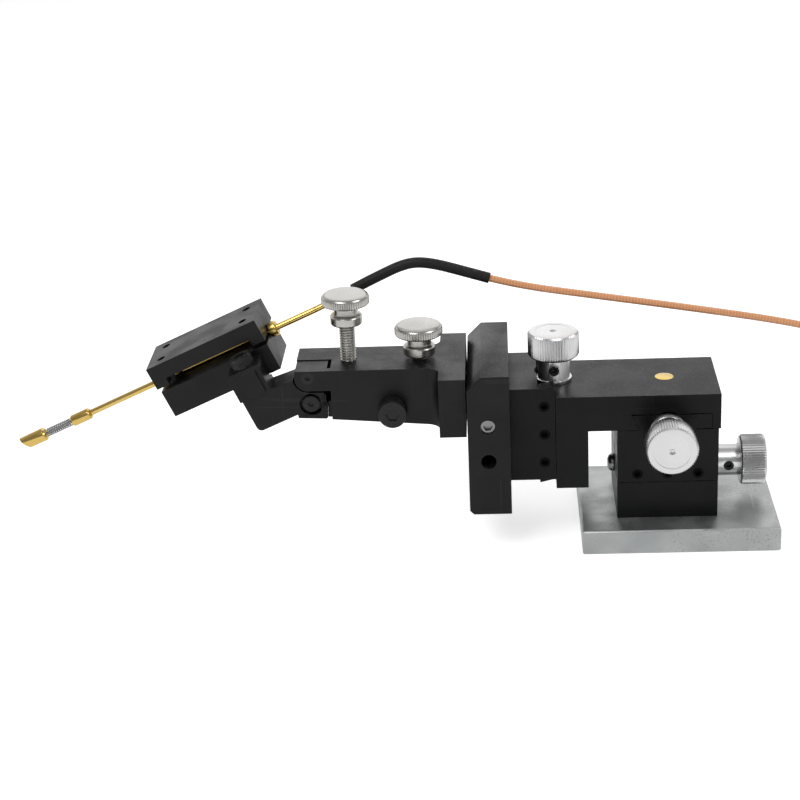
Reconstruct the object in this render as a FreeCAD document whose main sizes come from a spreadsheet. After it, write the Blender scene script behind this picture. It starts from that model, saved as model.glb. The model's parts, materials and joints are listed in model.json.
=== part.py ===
"""Three-axis probe positioner: dovetail stages, probe arm and coaxial needle, in millimetres.

The origin is on the underside of the base plate, below the middle of the stage column.
+X runs away from the needle, +Y to the back and +Z up.
"""

import FreeCAD, Part
import math
import os

import Sketcher
from FreeCAD import Placement, Rotation, Vector

DRIVING = {
    # Stage column
    "block_side": 25.0,
    "base_length": 49.0,
    "base_width": 39.5,
    "base_thick": 6.4,
    "base_middle_x": 3.0,
    "base_middle_y": -0.25,
    "low_height": 9.8,
    "middle_height": 14.0,
    "bridge_height": 9.3,
    "slide_gap": 0.1,
    "tail_height": 4.0,
    "neck_half": 6.8,
    "tail_half": 8.8,
    "groove_spare": 0.3,
    "side_play": 0.05,
    "gib_outer": 10.9,
    "travel": 10.0,
    # Feed screws, nuts and knobs
    "screw_radius": 1.5,
    "bore_play": 0.05,
    "nut_radius": 2.35,
    "nut_reach": 8.0,
    "nut_tail": 2.5,
    "slot_play": 0.1,
    "relief_radius": 4.9,
    "washer_radius": 4.5,
    "washer_thick": 0.8,
    "collar_radius": 4.0,
    "collar_length": 7.5,
    "knob_radius": 6.45,
    "knob_thick": 5.0,
    "knob_bevel": 0.5,
    "knob_hole_radius": 1.3,
    "knob_hole_height": 3.6,
    "cap_radius": 2.3,
    "cap_height": 1.7,
    "thrust_play": 0.05,
    # Gib screws
    "gib_screw_radius": 1.4,
    "gib_screw_pitch": 7.5,
    "gib_screw_rise": 2.2,
    # Bridge and upright block
    "leg_face_x": -27.6,
    "leg_thick": 8.0,
    "leg_bottom": 15.0,
    "bridge_right_x": 13.0,
    "upright_thick": 11.3,
    "upright_height": 24.5,
    "upright_lift": 2.5,
    # Mounting plate
    "plate_thick": 10.4,
    "plate_half": 19.2,
    "plate_height": 36.7,
    "plate_round": 3.5,
    "plate_screw_y": 9.0,
    "plate_screw_rise": 9.5,
    "cap3_head_radius": 2.75,
    "cap3_head_height": 3.0,
    "lock_hole_radius": 1.9,
    "lock_spacing": 9.1,
    "lock_depth_x": 5.0,
    "spigot_radius": 4.0,
    "spigot_length": 7.5,
    # Arm
    "arm_gap": 0.3,
    "flange_thick": 6.6,
    "flange_half": 16.2,
    "flange_height": 15.2,
    "arm_top": 46.4,
    "beam_half": 8.1,
    "beam_left_x": -92.1,
    "beam_end_height": 12.3,
    "beam_fillet": 3.0,
    "thumb_back_x": -61.1,
    "thumb_front_x": -79.0,
    "thumb_front_lift": 9.5,
    "side_screw_x": -67.9,
    "side_screw_z": 35.8,
    # Tilting nose
    "tilt": 24.0,
    "pivot_x": -88.8,
    "pivot_z": 44.6,
    "ear_radius": 3.5,
    "ear_thick": 2.0,
    "ear_play": 0.12,
    "swing_play": 0.45,
    "rebate_right_x": -83.2,
    "nose_thick": 7.9,
    "nose_end": 17.7,
    "nose_low": 7.7,
    "lug_top": 7.8,
    "lug_right": 9.7,
    "lug_proud": 0.5,
    "lug_back_y": -1.95,
    "m2_radius": 1.0,
    "m2_head_radius": 1.6,
    "m2_head_height": 1.2,
    "lock_head_radius": 2.1,
    "lock_arm": 7.0,
    # Clamp plates and needle
    "needle_y": 6.4,
    "needle_w": 11.1,
    "clamp_half": 8.25,
    "clamp_near": 6.5,
    "clamp_length": 31.0,
    "low_clamp_thick": 7.4,
    "high_clamp_thick": 6.0,
    "clamp_gap": 1.0,
    "clamp_pad": 3.6,
    "clamp_window": 1.9,
    "clamp_hole_inset": 3.8,
    "clamp_hole_y": 4.4,
    "clamp_hole_radius": 1.1,
    "tube_radius": 0.8,
    "tube_end": 60.0,
    "tube_back": 6.5,
    "flange_ring_radius": 2.0,
    "flange_ring_length": 2.2,
    "inner_radius": 0.45,
    "core_radius": 0.43,
    "core_start": 4.0,
    "stop_radius": 1.5,
    "stop_length": 4.4,
    "stop_start": 60.2,
    "spring_radius": 0.95,
    "spring_wire": 0.15,
    "spring_turns": 10,
    "spring_pitch": 0.75,
    "tip_radius": 1.75,
    "tip_length": 7.2,
    "tip_cut": 2.2,
    # Cable
    "sleeve_radius": 1.35,
    "sleeve_end_gap": 0.2,
    "cable_radius": 0.9,
    "coil_inner": 7.4,
    "coil_step": 2.6,
    "coil_turns_in": 2.25,
    "coil_middle_x": 54.2,
    "coil_middle_y": 11.0,
    "plug_axis_z": 4.4,
    "plug_tail": 4.0,
}


def with_derived(sizes):
    """Add the sizes that follow from the driving ones."""
    s = dict(sizes)
    s["block_half"] = s["block_side"] / 2
    s["low_top"] = s["base_thick"] + s["low_height"]
    s["middle_top"] = s["low_top"] + s["middle_height"]
    s["bridge_top"] = s["middle_top"] + s["bridge_height"]
    s["slope"] = (s["tail_half"] - s["neck_half"]) / s["tail_height"]
    s["bore_radius"] = s["screw_radius"] + s["bore_play"]
    s["slot_half"] = s["travel"] / 2 + s["nut_radius"] + 2 * s["slot_play"]
    s["slot_side"] = s["nut_radius"] + s["slot_play"]
    s["slot_low"] = s["nut_tail"] + 2 * s["slot_play"]
    s["upright_bottom"] = s["leg_bottom"] + s["upright_lift"]
    s["upright_top"] = s["upright_bottom"] + s["upright_height"]
    s["upright_middle"] = s["upright_bottom"] + s["upright_height"] / 2
    s["leg_height"] = s["bridge_top"] - s["leg_bottom"]
    s["leg_middle"] = s["leg_bottom"] + s["leg_height"] / 2
    s["plate_right_x"] = s["leg_face_x"] - s["upright_thick"]
    s["plate_left_x"] = s["plate_right_x"] - s["plate_thick"]
    s["plate_bottom"] = s["upright_middle"] - s["plate_height"] / 2
    s["plate_top"] = s["plate_bottom"] + s["plate_height"]
    s["lock_high_z"] = s["upright_middle"] + s["lock_spacing"] / 2 + 0.55
    s["lock_low_z"] = s["lock_high_z"] - s["lock_spacing"]
    s["lock_x"] = s["plate_left_x"] + s["lock_depth_x"]
    s["flange_right_x"] = s["plate_left_x"] - s["arm_gap"]
    s["flange_left_x"] = s["flange_right_x"] - s["flange_thick"]
    s["arm_bottom"] = s["arm_top"] - s["flange_height"]
    s["clamp_far"] = s["clamp_near"] + s["clamp_length"]
    s["low_clamp_top"] = s["needle_w"] - s["clamp_gap"] / 2
    s["low_clamp_bottom"] = s["low_clamp_top"] - s["low_clamp_thick"]
    s["high_clamp_bottom"] = s["needle_w"] + s["clamp_gap"] / 2
    s["high_clamp_top"] = s["high_clamp_bottom"] + s["high_clamp_thick"]
    s["clamp_front_y"] = s["needle_y"] - s["clamp_half"]
    s["clamp_back_y"] = s["needle_y"] + s["clamp_half"]
    s["spring_start"] = s["stop_start"] + s["stop_length"]
    s["spring_length"] = s["spring_turns"] * s["spring_pitch"] + 2 * s["spring_wire"] + 0.1
    s["tip_start"] = s["spring_start"] + s["spring_length"]
    s["tip_end"] = s["tip_start"] + s["tip_length"]
    s["coil_outer"] = s["coil_inner"] + s["coil_step"] * s["coil_turns_in"]
    s["coil_start_x"] = s["coil_middle_x"] + s["coil_outer"]
    s["cable_floor"] = s["cable_radius"] + 0.02
    return s


SIZE = with_derived(DRIVING)
DOC = FreeCAD.newDocument("probe_positioner")


def make_sheet():
    """Put every size in a sheet cell that is named after it."""
    sheet = DOC.addObject("Spreadsheet::Sheet", "dims")
    for row, (name, size) in enumerate(SIZE.items(), start=1):
        sheet.set(f"A{row}", name)
        sheet.set(f"B{row}", f"{size:.6g}")
        sheet.setAlias(f"B{row}", name)
    DOC.recompute()
    return sheet


SHEET = make_sheet()
PARTS = []

PLANES = {"X": "YZ_Plane", "Y": "XZ_Plane", "Z": "XY_Plane"}


def number(text):
    """The number that an expression on the sheet gives."""
    return float(SHEET.evalExpression(text))


def keep(item, label):
    """Name an object as a sub-part that gets a file of its own."""
    item.Label = label
    PARTS.append(item)
    return item


def bind(item, **expressions):
    """Tie properties to sheet expressions; a double underscore in a name stands for a dot."""
    for name, text in expressions.items():
        item.setExpression(name.replace("__", "."), text)


def box_outline(low_a, high_a, low_b, high_b):
    """A rectangle as four corners."""
    return [(low_a, low_b), (high_a, low_b), (high_a, high_b), (low_a, high_b)]


def circle(centre_a, centre_b, radius):
    """A circle as its centre and radius."""
    return (centre_a, centre_b, radius)


def hexagon(centre_a, centre_b, across_flats):
    """A hexagon with the given width across its flats."""
    reach = f"({across_flats}) / 2 / cos(30)"
    corners = []
    for step in range(6):
        angle = 60 * step
        corners.append((f"({centre_a}) + {reach} * cos({angle})", f"({centre_b}) + {reach} * sin({angle})"))
    return corners


def draw_polygon(sketch, corners):
    """Draw a closed polygon whose corners are tied to the sheet."""
    points = [Vector(number(a), number(b), 0) for a, b in corners]
    first = sketch.GeometryCount
    count = len(points)
    for index in range(count):
        sketch.addGeometry(Part.LineSegment(points[index], points[(index + 1) % count]), False)
    for index in range(count):
        following = first + (index + 1) % count
        sketch.addConstraint(Sketcher.Constraint("Coincident", first + index, 2, following, 1))
    for index, (a, b) in enumerate(corners):
        for kind, text, value in (("DistanceX", a, points[index].x), ("DistanceY", b, points[index].y)):
            place = sketch.addConstraint(Sketcher.Constraint(kind, -1, 1, first + index, 1, value))
            sketch.setExpression(f"Constraints[{place}]", text)


def draw_circle(sketch, ring):
    """Draw a circle whose centre and radius are tied to the sheet."""
    centre = Vector(number(ring[0]), number(ring[1]), 0)
    radius = number(ring[2])
    index = sketch.addGeometry(Part.Circle(centre, Vector(0, 0, 1), radius), False)
    rules = (
        (Sketcher.Constraint("DistanceX", -1, 1, index, 3, centre.x), ring[0]),
        (Sketcher.Constraint("DistanceY", -1, 1, index, 3, centre.y), ring[1]),
        (Sketcher.Constraint("Radius", index, radius), ring[2]),
    )
    for rule, text in rules:
        place = sketch.addConstraint(rule)
        sketch.setExpression(f"Constraints[{place}]", text)


class Piece:
    """A body that is padded, cut and revolved from sketches on its own origin planes."""

    def __init__(self, label):
        self.body = keep(DOC.addObject("PartDesign::Body", label), label)
        self.label = label

    def sketch(self, axis, offset, outlines):
        """A sketch square to an axis, at an offset along that axis."""
        role = PLANES[axis]
        plane = next(item for item in self.body.Origin.OriginFeatures if item.Role == role)
        sketch = self.body.newObject("Sketcher::SketchObject", f"{self.label}_sketch")
        sketch.AttachmentSupport = [(plane, "")]
        sketch.MapMode = "FlatFace"
        sign = "-" if axis == "Y" else ""
        sketch.setExpression("AttachmentOffset.Base.z", f"{sign}({offset})")
        for outline in outlines:
            if isinstance(outline, tuple):
                draw_circle(sketch, outline)
            else:
                draw_polygon(sketch, outline)
        sketch.Visibility = False
        return sketch

    def pad(self, axis, low, high, *outlines):
        """Add material between two stations along an axis."""
        start = high if axis == "Y" else low
        feature = self.body.newObject("PartDesign::Pad", f"{self.label}_pad")
        feature.Profile = self.sketch(axis, start, outlines)
        feature.setExpression("Length", f"({high}) - ({low})")
        DOC.recompute()
        return self

    def cut(self, axis, low, high, *outlines):
        """Remove material between two stations along an axis."""
        before = self.body.Shape.Volume
        start = low if axis == "Y" else high
        feature = self.body.newObject("PartDesign::Pocket", f"{self.label}_pocket")
        feature.Profile = self.sketch(axis, start, outlines)
        feature.setExpression("Length", f"({high}) - ({low})")
        DOC.recompute()
        if self.body.Shape.Volume > before - 1e-4:
            raise RuntimeError(f"{self.label}: a pocket along {axis} cut nothing")
        return self

    def spin(self, *outlines):
        """Revolve outlines of (radius, height) round the piece's own Z axis."""
        feature = self.body.newObject("PartDesign::Revolution", f"{self.label}_turned")
        sketch = self.sketch("Y", "0", outlines)
        feature.Profile = sketch
        feature.ReferenceAxis = (sketch, ["V_Axis"])
        feature.Angle = 360
        DOC.recompute()
        return self

    def edges(self, test):
        """Names of the edges whose middle passes a test, with their shapes."""
        shape = self.body.Tip.Shape
        return [f"Edge{n}" for n, edge in enumerate(shape.Edges, start=1) if test(edge)]

    def soften(self, kind, size, test):
        """Fillet or chamfer the edges that pass a test."""
        names = self.edges(test)
        if not names:
            raise RuntimeError(f"{self.label}: no edge to soften")
        base = self.body.Tip
        feature = self.body.newObject(f"PartDesign::{kind}", f"{self.label}_{kind.lower()}")
        feature.Base = (base, names)
        feature.setExpression("Radius" if kind == "Fillet" else "Size", size)
        DOC.recompute()
        return self

    def place(self, at, axis=Vector(0, 0, 1), angle="0"):
        """Move the piece to a point, turned about an axis."""
        self.body.Placement = Placement(Vector(), Rotation(axis, number(angle)))
        put(self.body, at)
        if angle != "0":
            self.body.setExpression("Placement.Rotation.Angle", angle)
        return self


def put(item, at):
    """Tie an object's position to three sheet expressions."""
    for name, text in zip("xyz", at):
        item.setExpression(f"Placement.Base.{name}", text)


def along(direction, point, length=0.0):
    """True for an edge in a direction whose middle is near the numbers that point gives."""

    def test(edge):
        middle = edge.CenterOfMass
        run = edge.Vertexes[-1].Point - edge.Vertexes[0].Point
        if run.Length < max(length, 1e-6):
            return False
        parallel = abs(run.normalize().dot(direction)) > 0.999
        near = all(want is None or abs(have - want) < 0.05 for have, want in zip(middle, point))
        return parallel and near

    return test


X_AXIS = Vector(1, 0, 0)
Y_AXIS = Vector(0, 1, 0)
Z_AXIS = Vector(0, 0, 1)

MALE = [
    ("-dims.neck_half", "0"),
    ("-dims.tail_half", "dims.tail_height"),
    ("dims.tail_half", "dims.tail_height"),
    ("dims.neck_half", "0"),
]
FEMALE = [
    ("-(dims.neck_half + dims.side_play - dims.slope)", "-1"),
    ("-(dims.neck_half + dims.side_play + dims.slope * (dims.tail_height + dims.groove_spare))",
     "dims.tail_height + dims.groove_spare"),
    ("dims.gib_outer", "dims.tail_height + dims.groove_spare"),
    ("dims.gib_outer", "-1"),
]
GIB = [
    ("dims.neck_half + dims.side_play + dims.slope * 0.15", "0.15"),
    ("dims.neck_half + dims.side_play + dims.slope * (dims.tail_height + 0.15)", "dims.tail_height + 0.15"),
    ("dims.gib_outer - dims.side_play", "dims.tail_height + 0.15"),
    ("dims.gib_outer - dims.side_play", "0.15"),
]


def upright(outline, split, sign=""):
    """A dovetail outline that rises from a level split plane, as seen along the slide."""
    return [(f"{sign}({across})", f"{split} + ({rise})") for across, rise in outline]


def sideways(outline, split):
    """A dovetail outline that points to -X from an upright split plane, as seen from above."""
    return [(f"{split} - ({rise})", f"-({across})") for across, rise in outline]


def base_plate():
    """The flat steel bar that everything stands on, with two countersunk holes from below."""
    plate = Piece("base_plate")
    low_x = "dims.base_middle_x - dims.base_length / 2"
    high_x = "dims.base_middle_x + dims.base_length / 2"
    low_y = "dims.base_middle_y - dims.base_width / 2"
    high_y = "dims.base_middle_y + dims.base_width / 2"
    plate.pad("Z", "0", "dims.base_thick", box_outline(low_x, high_x, low_y, high_y))
    holes = [circle(x, "0", "1.6") for x in ("-8", "8")]
    plate.cut("Z", "0", "dims.base_thick", *holes)
    heads = [circle(x, "0", "3.2") for x in ("-8", "8")]
    plate.cut("Z", "0", "2.2", *heads)
    plate.soften("Chamfer", "0.4", lambda edge: edge.Length > 30)


def slot_and_bore(piece, axis, slot_axis, slot_low, slot_high, slot_outline, bore_low, bore_high, bore):
    """Cut the nut's slot and the feed screw's bore in a male block."""
    piece.cut(slot_axis, slot_low, slot_high, slot_outline)
    piece.cut(axis, bore_low, bore_high, bore)


def low_block():
    """The fixed block on the base plate, with the X dovetail on top."""
    block = Piece("base_block")
    half = "dims.block_half"
    block.pad("Z", "dims.base_thick", "dims.low_top", box_outline(f"-{half}", half, f"-{half}", half))
    block.pad("X", f"-{half}", half, upright(MALE, "dims.low_top"))
    slot = box_outline("-dims.slot_half", "dims.slot_half", "-dims.slot_side", "dims.slot_side")
    top = "dims.low_top + dims.tail_height"
    bore = circle("0", "dims.low_top", "dims.bore_radius")
    slot_and_bore(block, "X", "Z", "dims.low_top - dims.slot_low", top, slot, f"-{half}", half, bore)
    holes = [circle(x, "0", "1.5") for x in ("-8", "8")]
    block.cut("Z", "dims.base_thick", "dims.base_thick + 5.6", *holes)


def gib_screw_holes(piece, axis, low, high, centres):
    """Cut the tapped holes for a gib's three set screws."""
    piece.cut(axis, low, high, *[circle(a, b, "dims.gib_screw_radius") for a, b in centres])


def middle_block():
    """The block that slides along X and carries the Y dovetail."""
    block = Piece("middle_block")
    half = "dims.block_half"
    bottom = "dims.low_top + dims.slide_gap"
    block.pad("Z", bottom, "dims.middle_top", box_outline(f"-{half}", half, f"-{half}", half))
    block.cut("X", f"-{half}", half, upright(FEMALE, "dims.low_top", "-"))
    block.cut("X", f"-{half}", half, circle("0", "dims.low_top", "dims.relief_radius"))
    block.pad("Y", f"-{half}", half, upright(MALE, "dims.middle_top"))
    slot = box_outline("-dims.slot_side", "dims.slot_side", "-dims.slot_half", "dims.slot_half")
    top = "dims.middle_top + dims.tail_height"
    bore = circle("0", "dims.middle_top", "dims.bore_radius")
    slot_and_bore(block, "Y", "Z", "dims.middle_top - dims.slot_low", top, slot, f"-{half}", half, bore)
    nut = circle("0", "0", "dims.nut_radius")
    block.cut("Z", "dims.low_top + dims.tail_height", "dims.low_top + dims.nut_reach", nut)
    centres = [(f"{n} * dims.gib_screw_pitch", "dims.low_top + dims.gib_screw_rise") for n in (-1, 0, 1)]
    gib_screw_holes(block, "Y", f"-{half}", "-dims.gib_outer + 0.2", centres)


def bridge_block():
    """The L-shaped block that slides along Y; its leg carries the Z dovetail."""
    block = Piece("bridge_block")
    half = "dims.block_half"
    leg_right = "dims.leg_face_x + dims.leg_thick"
    under = "dims.middle_top + dims.slide_gap"
    corner = [
        ("dims.leg_face_x", "dims.leg_bottom"),
        (leg_right, "dims.leg_bottom"),
        (leg_right, under),
        ("dims.bridge_right_x", under),
        ("dims.bridge_right_x", "dims.bridge_top"),
        ("dims.leg_face_x", "dims.bridge_top"),
    ]
    block.pad("Y", f"-{half}", half, corner)
    block.pad("Z", "dims.leg_bottom", "dims.bridge_top", sideways(MALE, "dims.leg_face_x"))
    block.cut("Y", f"-{half}", half, upright(FEMALE, "dims.middle_top"))
    block.cut("Y", f"-{half}", half, circle("0", "dims.middle_top", "dims.relief_radius"))
    nut = circle("0", "0", "dims.nut_radius")
    block.cut("Z", "dims.middle_top + dims.tail_height", "dims.bridge_top", nut)
    slot = box_outline("-dims.slot_side", "dims.slot_side",
                       "dims.leg_middle - dims.slot_half", "dims.leg_middle + dims.slot_half")
    bore = circle("dims.leg_face_x", "0", "dims.bore_radius")
    slot_and_bore(block, "Z", "X", "dims.leg_face_x - dims.tail_height", "dims.leg_face_x + dims.slot_low",
                  slot, "dims.leg_bottom", "dims.bridge_top", bore)
    centres = [(f"{n} * dims.gib_screw_pitch", "dims.middle_top + dims.gib_screw_rise") for n in (-1, 0, 1)]
    gib_screw_holes(block, "X", "dims.gib_outer - 0.2", "dims.bridge_right_x", centres)


def upright_block():
    """The block that slides along Z on the bridge's leg."""
    block = Piece("upright_block")
    half = "dims.block_half"
    face = "dims.leg_face_x - dims.slide_gap"
    sides = box_outline("dims.plate_right_x", face, f"-{half}", half)
    block.pad("Z", "dims.upright_bottom", "dims.upright_top", sides)
    block.cut("Z", "dims.upright_bottom", "dims.upright_top", sideways(FEMALE, "dims.leg_face_x"))
    relief = circle("dims.leg_face_x", "0", "dims.relief_radius")
    block.cut("Z", "dims.upright_bottom", "dims.upright_top", relief)
    nut = circle("0", "dims.upright_middle", "dims.nut_radius")
    block.cut("X", "dims.leg_face_x - dims.nut_reach", "dims.leg_face_x - dims.tail_height", nut)
    column = "dims.leg_face_x - dims.gib_screw_rise - 0.6"
    centres = [(column, f"dims.upright_middle + {n} * dims.gib_screw_pitch") for n in (-1, 0, 1)]
    gib_screw_holes(block, "Y", f"-{half}", "-dims.gib_outer + 0.2", centres)
    holes = [circle(y, z, "1.5") for y, z in plate_screw_places()]
    block.cut("X", "dims.plate_right_x", "dims.plate_right_x + 5.4", *holes)


def plate_screw_places():
    """Where the four plate screws stand, as (y, z)."""
    return [
        (f"{side} * dims.plate_screw_y", f"dims.upright_middle + {level} * dims.plate_screw_rise")
        for side in (-1, 1)
        for level in (-1, 1)
    ]


def gibs():
    """The three gib strips that take up the play of the dovetails."""
    end = "(dims.block_half - 0.1)"
    Piece("x_gib").pad("X", f"-{end}", end, upright(GIB, "dims.low_top", "-"))
    Piece("y_gib").pad("Y", f"-{end}", end, upright(GIB, "dims.middle_top"))
    low = "dims.upright_bottom + 0.1"
    Piece("z_gib").pad("Z", low, "dims.upright_top - 0.1", sideways(GIB, "dims.leg_face_x"))


def nut_pin(label, axis, low, high, outline, cross_axis, cross_low, cross_high, cross):
    """A brass nut pin with its cross hole for the feed screw."""
    pin = Piece(label)
    pin.pad(axis, low, high, outline)
    pin.cut(cross_axis, cross_low, cross_high, cross)


def nut_pins():
    """The three brass nut pins."""
    reach = "dims.nut_radius"
    upright_pin = circle("0", "0", "dims.nut_radius")
    nut_pin("x_nut_pin", "Z", "dims.low_top - dims.nut_tail", "dims.low_top + dims.nut_reach", upright_pin,
            "X", f"-{reach}", reach, circle("0", "dims.low_top", "dims.bore_radius"))
    nut_pin("y_nut_pin", "Z", "dims.middle_top - dims.nut_tail", "dims.bridge_top", upright_pin,
            "Y", f"-{reach}", reach, circle("0", "dims.middle_top", "dims.bore_radius"))
    nut_pin("z_nut_pin", "X", "dims.leg_face_x - dims.nut_reach", "dims.leg_face_x + dims.nut_tail",
            circle("0", "dims.upright_middle", "dims.nut_radius"),
            "Z", f"dims.upright_middle - {reach}", f"dims.upright_middle + {reach}",
            circle("dims.leg_face_x", "0", "dims.bore_radius"))


def turned_knob(label, at, axis, angle):
    """A feed knob: washer, collar and grip rim in one, with its set screw hole."""
    knob = Piece(label)
    grip = "dims.collar_length"
    top = "dims.collar_length + dims.knob_thick"
    collar_foot = "dims.thrust_play + dims.washer_thick"
    knob.spin([
        ("dims.screw_radius", "dims.thrust_play"),
        ("dims.washer_radius", "dims.thrust_play"),
        ("dims.washer_radius", collar_foot),
        ("dims.collar_radius", collar_foot),
        ("dims.collar_radius", grip),
        ("dims.knob_radius - dims.knob_bevel", grip),
        ("dims.knob_radius", f"{grip} + dims.knob_bevel"),
        ("dims.knob_radius", f"{top} - dims.knob_bevel"),
        ("dims.knob_radius - dims.knob_bevel", top),
        ("0", top),
        ("0", f"{top} - 1"),
        ("dims.screw_radius", f"{top} - 1"),
    ])
    hole = circle("0", "dims.knob_hole_height", "dims.knob_hole_radius")
    knob.cut("Y", "-dims.collar_radius", "-dims.screw_radius + 0.2", hole)
    knob.place(at, axis, angle)


def feed_screw(label, length, at, axis, angle):
    """The feed screw's rod, from inside the knob to its retainer."""
    rod = Piece(label)
    rod.pad("Z", f"-({length}) - dims.thrust_play", "dims.collar_length + dims.knob_thick - 1",
            circle("0", "0", "dims.screw_radius"))
    rod.place(at, axis, angle)


def retainer(label, length, at, axis, angle):
    """The domed cap that holds a feed screw's far end."""
    cap = Piece(label)
    face = f"-({length}) - dims.thrust_play"
    cap.spin([
        ("0", face),
        ("dims.cap_radius", face),
        ("dims.cap_radius", f"{face} - dims.cap_height * 0.45"),
        ("dims.cap_radius * 0.8", f"{face} - dims.cap_height * 0.8"),
        ("dims.cap_radius * 0.45", f"{face} - dims.cap_height"),
        ("0", f"{face} - dims.cap_height"),
    ])
    cap.place(at, axis, angle)


def knob_set_screw(label, at, axis, angle):
    """The headless screw that locks a knob on its feed screw."""
    screw = Piece(label)
    outer = "-dims.collar_radius + 0.4"
    screw.pad("Y", outer, "-dims.screw_radius", circle("0", "dims.knob_hole_height", "dims.knob_hole_radius"))
    screw.cut("Y", outer, f"{outer} + 1", hexagon("0", "dims.knob_hole_height", "1.3"))
    screw.place(at, axis, angle)


def feed(name, length, at, axis, angle):
    """One feed: knob, screw, retainer and knob set screw."""
    turned_knob(f"{name}_knob", at, axis, angle)
    feed_screw(f"{name}_feed_screw", length, at, axis, angle)
    retainer(f"{name}_retainer", length, at, axis, angle)
    knob_set_screw(f"{name}_knob_set_screw", at, axis, angle)


def feeds():
    """The three feeds, each square to the end face that its knob bears on."""
    side = "dims.block_side"
    feed("x", side, ("dims.block_half", "0", "dims.low_top"), Y_AXIS, "90")
    feed("y", side, ("0", "-dims.block_half", "dims.middle_top"), X_AXIS, "90")
    feed("z", "dims.leg_height", ("dims.leg_face_x", "0", "dims.bridge_top"), Z_AXIS, "0")


def solid_cylinder(radius, height, at, axis=Z_AXIS, angle=0):
    """A cylinder along an axis, from a point that is tied to the sheet."""
    item = DOC.addObject("Part::Cylinder", "rod")
    bind(item, Radius=radius, Height=height)
    item.Placement = Placement(Vector(), Rotation(axis, angle))
    put(item, at)
    return item


def hex_socket(across_flats, depth, at, axis, angle):
    """A hexagonal prism that a screw's socket is cut with."""
    item = DOC.addObject("Part::Prism", "socket")
    item.Polygon = 6
    bind(item, Circumradius=f"({across_flats}) / 2 / cos(30)", Height=depth)
    item.Placement = Placement(Vector(), Rotation(axis, angle))
    put(item, at)
    return item


def set_screw(radius, length, socket, at, axis, angle):
    """A headless screw with a hex socket in its outer end, which points along the turned Z axis."""
    rod = solid_cylinder(radius, length, at, axis, angle)
    outward = Rotation(axis, angle).multVec(Z_AXIS)
    reach = f"(({length}) - 1.2)"
    end = [f"({start}) + {reach} * {step:.0f}" for start, step in zip(at, outward)]
    recess = hex_socket(socket, "1.2", end, axis, angle)
    screw = DOC.addObject("Part::Cut", "set_screw")
    screw.Base = rod
    screw.Tool = recess
    return screw


def gather(label, items):
    """Keep a group of like solids as one sub-part."""
    group = DOC.addObject("Part::Compound", label)
    group.Links = items
    return keep(group, label)


def gib_screws():
    """The set screws that press the three gibs."""
    wall = "dims.block_half - dims.gib_outer + dims.side_play"
    pitches = [f"{n} * dims.gib_screw_pitch" for n in (-1, 0, 1)]
    radius = "dims.gib_screw_radius"
    start = "-dims.gib_outer + dims.side_play"
    x_screws = [
        set_screw(radius, wall, "1.5", (pitch, start, "dims.low_top + dims.gib_screw_rise"), X_AXIS, 90)
        for pitch in pitches
    ]
    gather("x_gib_screws", x_screws)
    y_wall = "dims.bridge_right_x - dims.gib_outer + dims.side_play - 0.3"
    level = "dims.middle_top + dims.gib_screw_rise"
    y_screws = [
        set_screw(radius, y_wall, "1.5", ("dims.gib_outer - dims.side_play", pitch, level), Y_AXIS, 90)
        for pitch in pitches
    ]
    gather("y_gib_screws", y_screws)
    column = "dims.leg_face_x - dims.gib_screw_rise - 0.6"
    z_screws = [
        set_screw(radius, wall, "1.5", (column, start, f"dims.upright_middle + {pitch}"), X_AXIS, 90)
        for pitch in pitches
    ]
    gather("z_gib_screws", z_screws)


def cap_screw(shank_radius, shank_length, head_radius, head_height, socket, at, axis, angle):
    """A socket head cap screw whose head starts at a point and points along the turned Z axis."""
    outward = Rotation(axis, angle).multVec(Z_AXIS)
    head = solid_cylinder(head_radius, head_height, at, axis, angle)
    foot = [f"({start}) - ({shank_length}) * {step:.6f}" for start, step in zip(at, outward)]
    shank = solid_cylinder(shank_radius, shank_length, foot, axis, angle)
    depth = f"(({head_height}) * 0.55)"
    floor = [f"({start}) + (({head_height}) - {depth}) * {step:.6f}" for start, step in zip(at, outward)]
    recess = hex_socket(socket, depth, floor, axis, angle)
    whole = DOC.addObject("Part::Fuse", "screw_blank")
    whole.Base = head
    whole.Tool = shank
    screw = DOC.addObject("Part::Cut", "cap_screw")
    screw.Base = whole
    screw.Tool = recess
    return screw


def base_screws():
    """The two countersunk screws that hold the column on its plate."""
    screws = []
    for x in ("-8", "8"):
        screws.append(cap_screw("1.5", "9.6", "3.1", "1.8", "2", (x, "0", "2.1"), X_AXIS, 180))
    gather("base_screws", screws)


def mounting_plate():
    """The tall plate on the upright block, with two spigot bores and their lock screw holes."""
    plate = Piece("mounting_plate")
    left, right = "dims.plate_left_x", "dims.plate_right_x"
    sides = box_outline(left, right, "-dims.plate_half", "dims.plate_half")
    plate.pad("Z", "dims.plate_bottom", "dims.plate_top", sides)
    plate.soften("Fillet", "dims.plate_round", along(Y_AXIS, (SIZE["plate_left_x"], None, SIZE["plate_top"])))
    plate.soften("Chamfer", "1", along(Y_AXIS, (SIZE["plate_left_x"], None, SIZE["plate_bottom"])))
    levels = ("dims.lock_high_z", "dims.lock_low_z")
    spigots = [circle("0", level, "dims.spigot_radius + dims.bore_play") for level in levels]
    plate.cut("X", left, f"{left} + dims.spigot_length + 0.5", *spigots)
    locks = [circle("dims.lock_x", level, "dims.lock_hole_radius") for level in levels]
    plate.cut("Y", "-dims.plate_half", "-dims.spigot_radius + 0.5", *locks)
    heads = [circle(y, z, "dims.cap3_head_radius + 0.15") for y, z in plate_screw_places()]
    plate.cut("X", left, f"{left} + 3.1", *heads)
    shanks = [circle(y, z, "1.6") for y, z in plate_screw_places()]
    plate.cut("X", left, right, *shanks)


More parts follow.
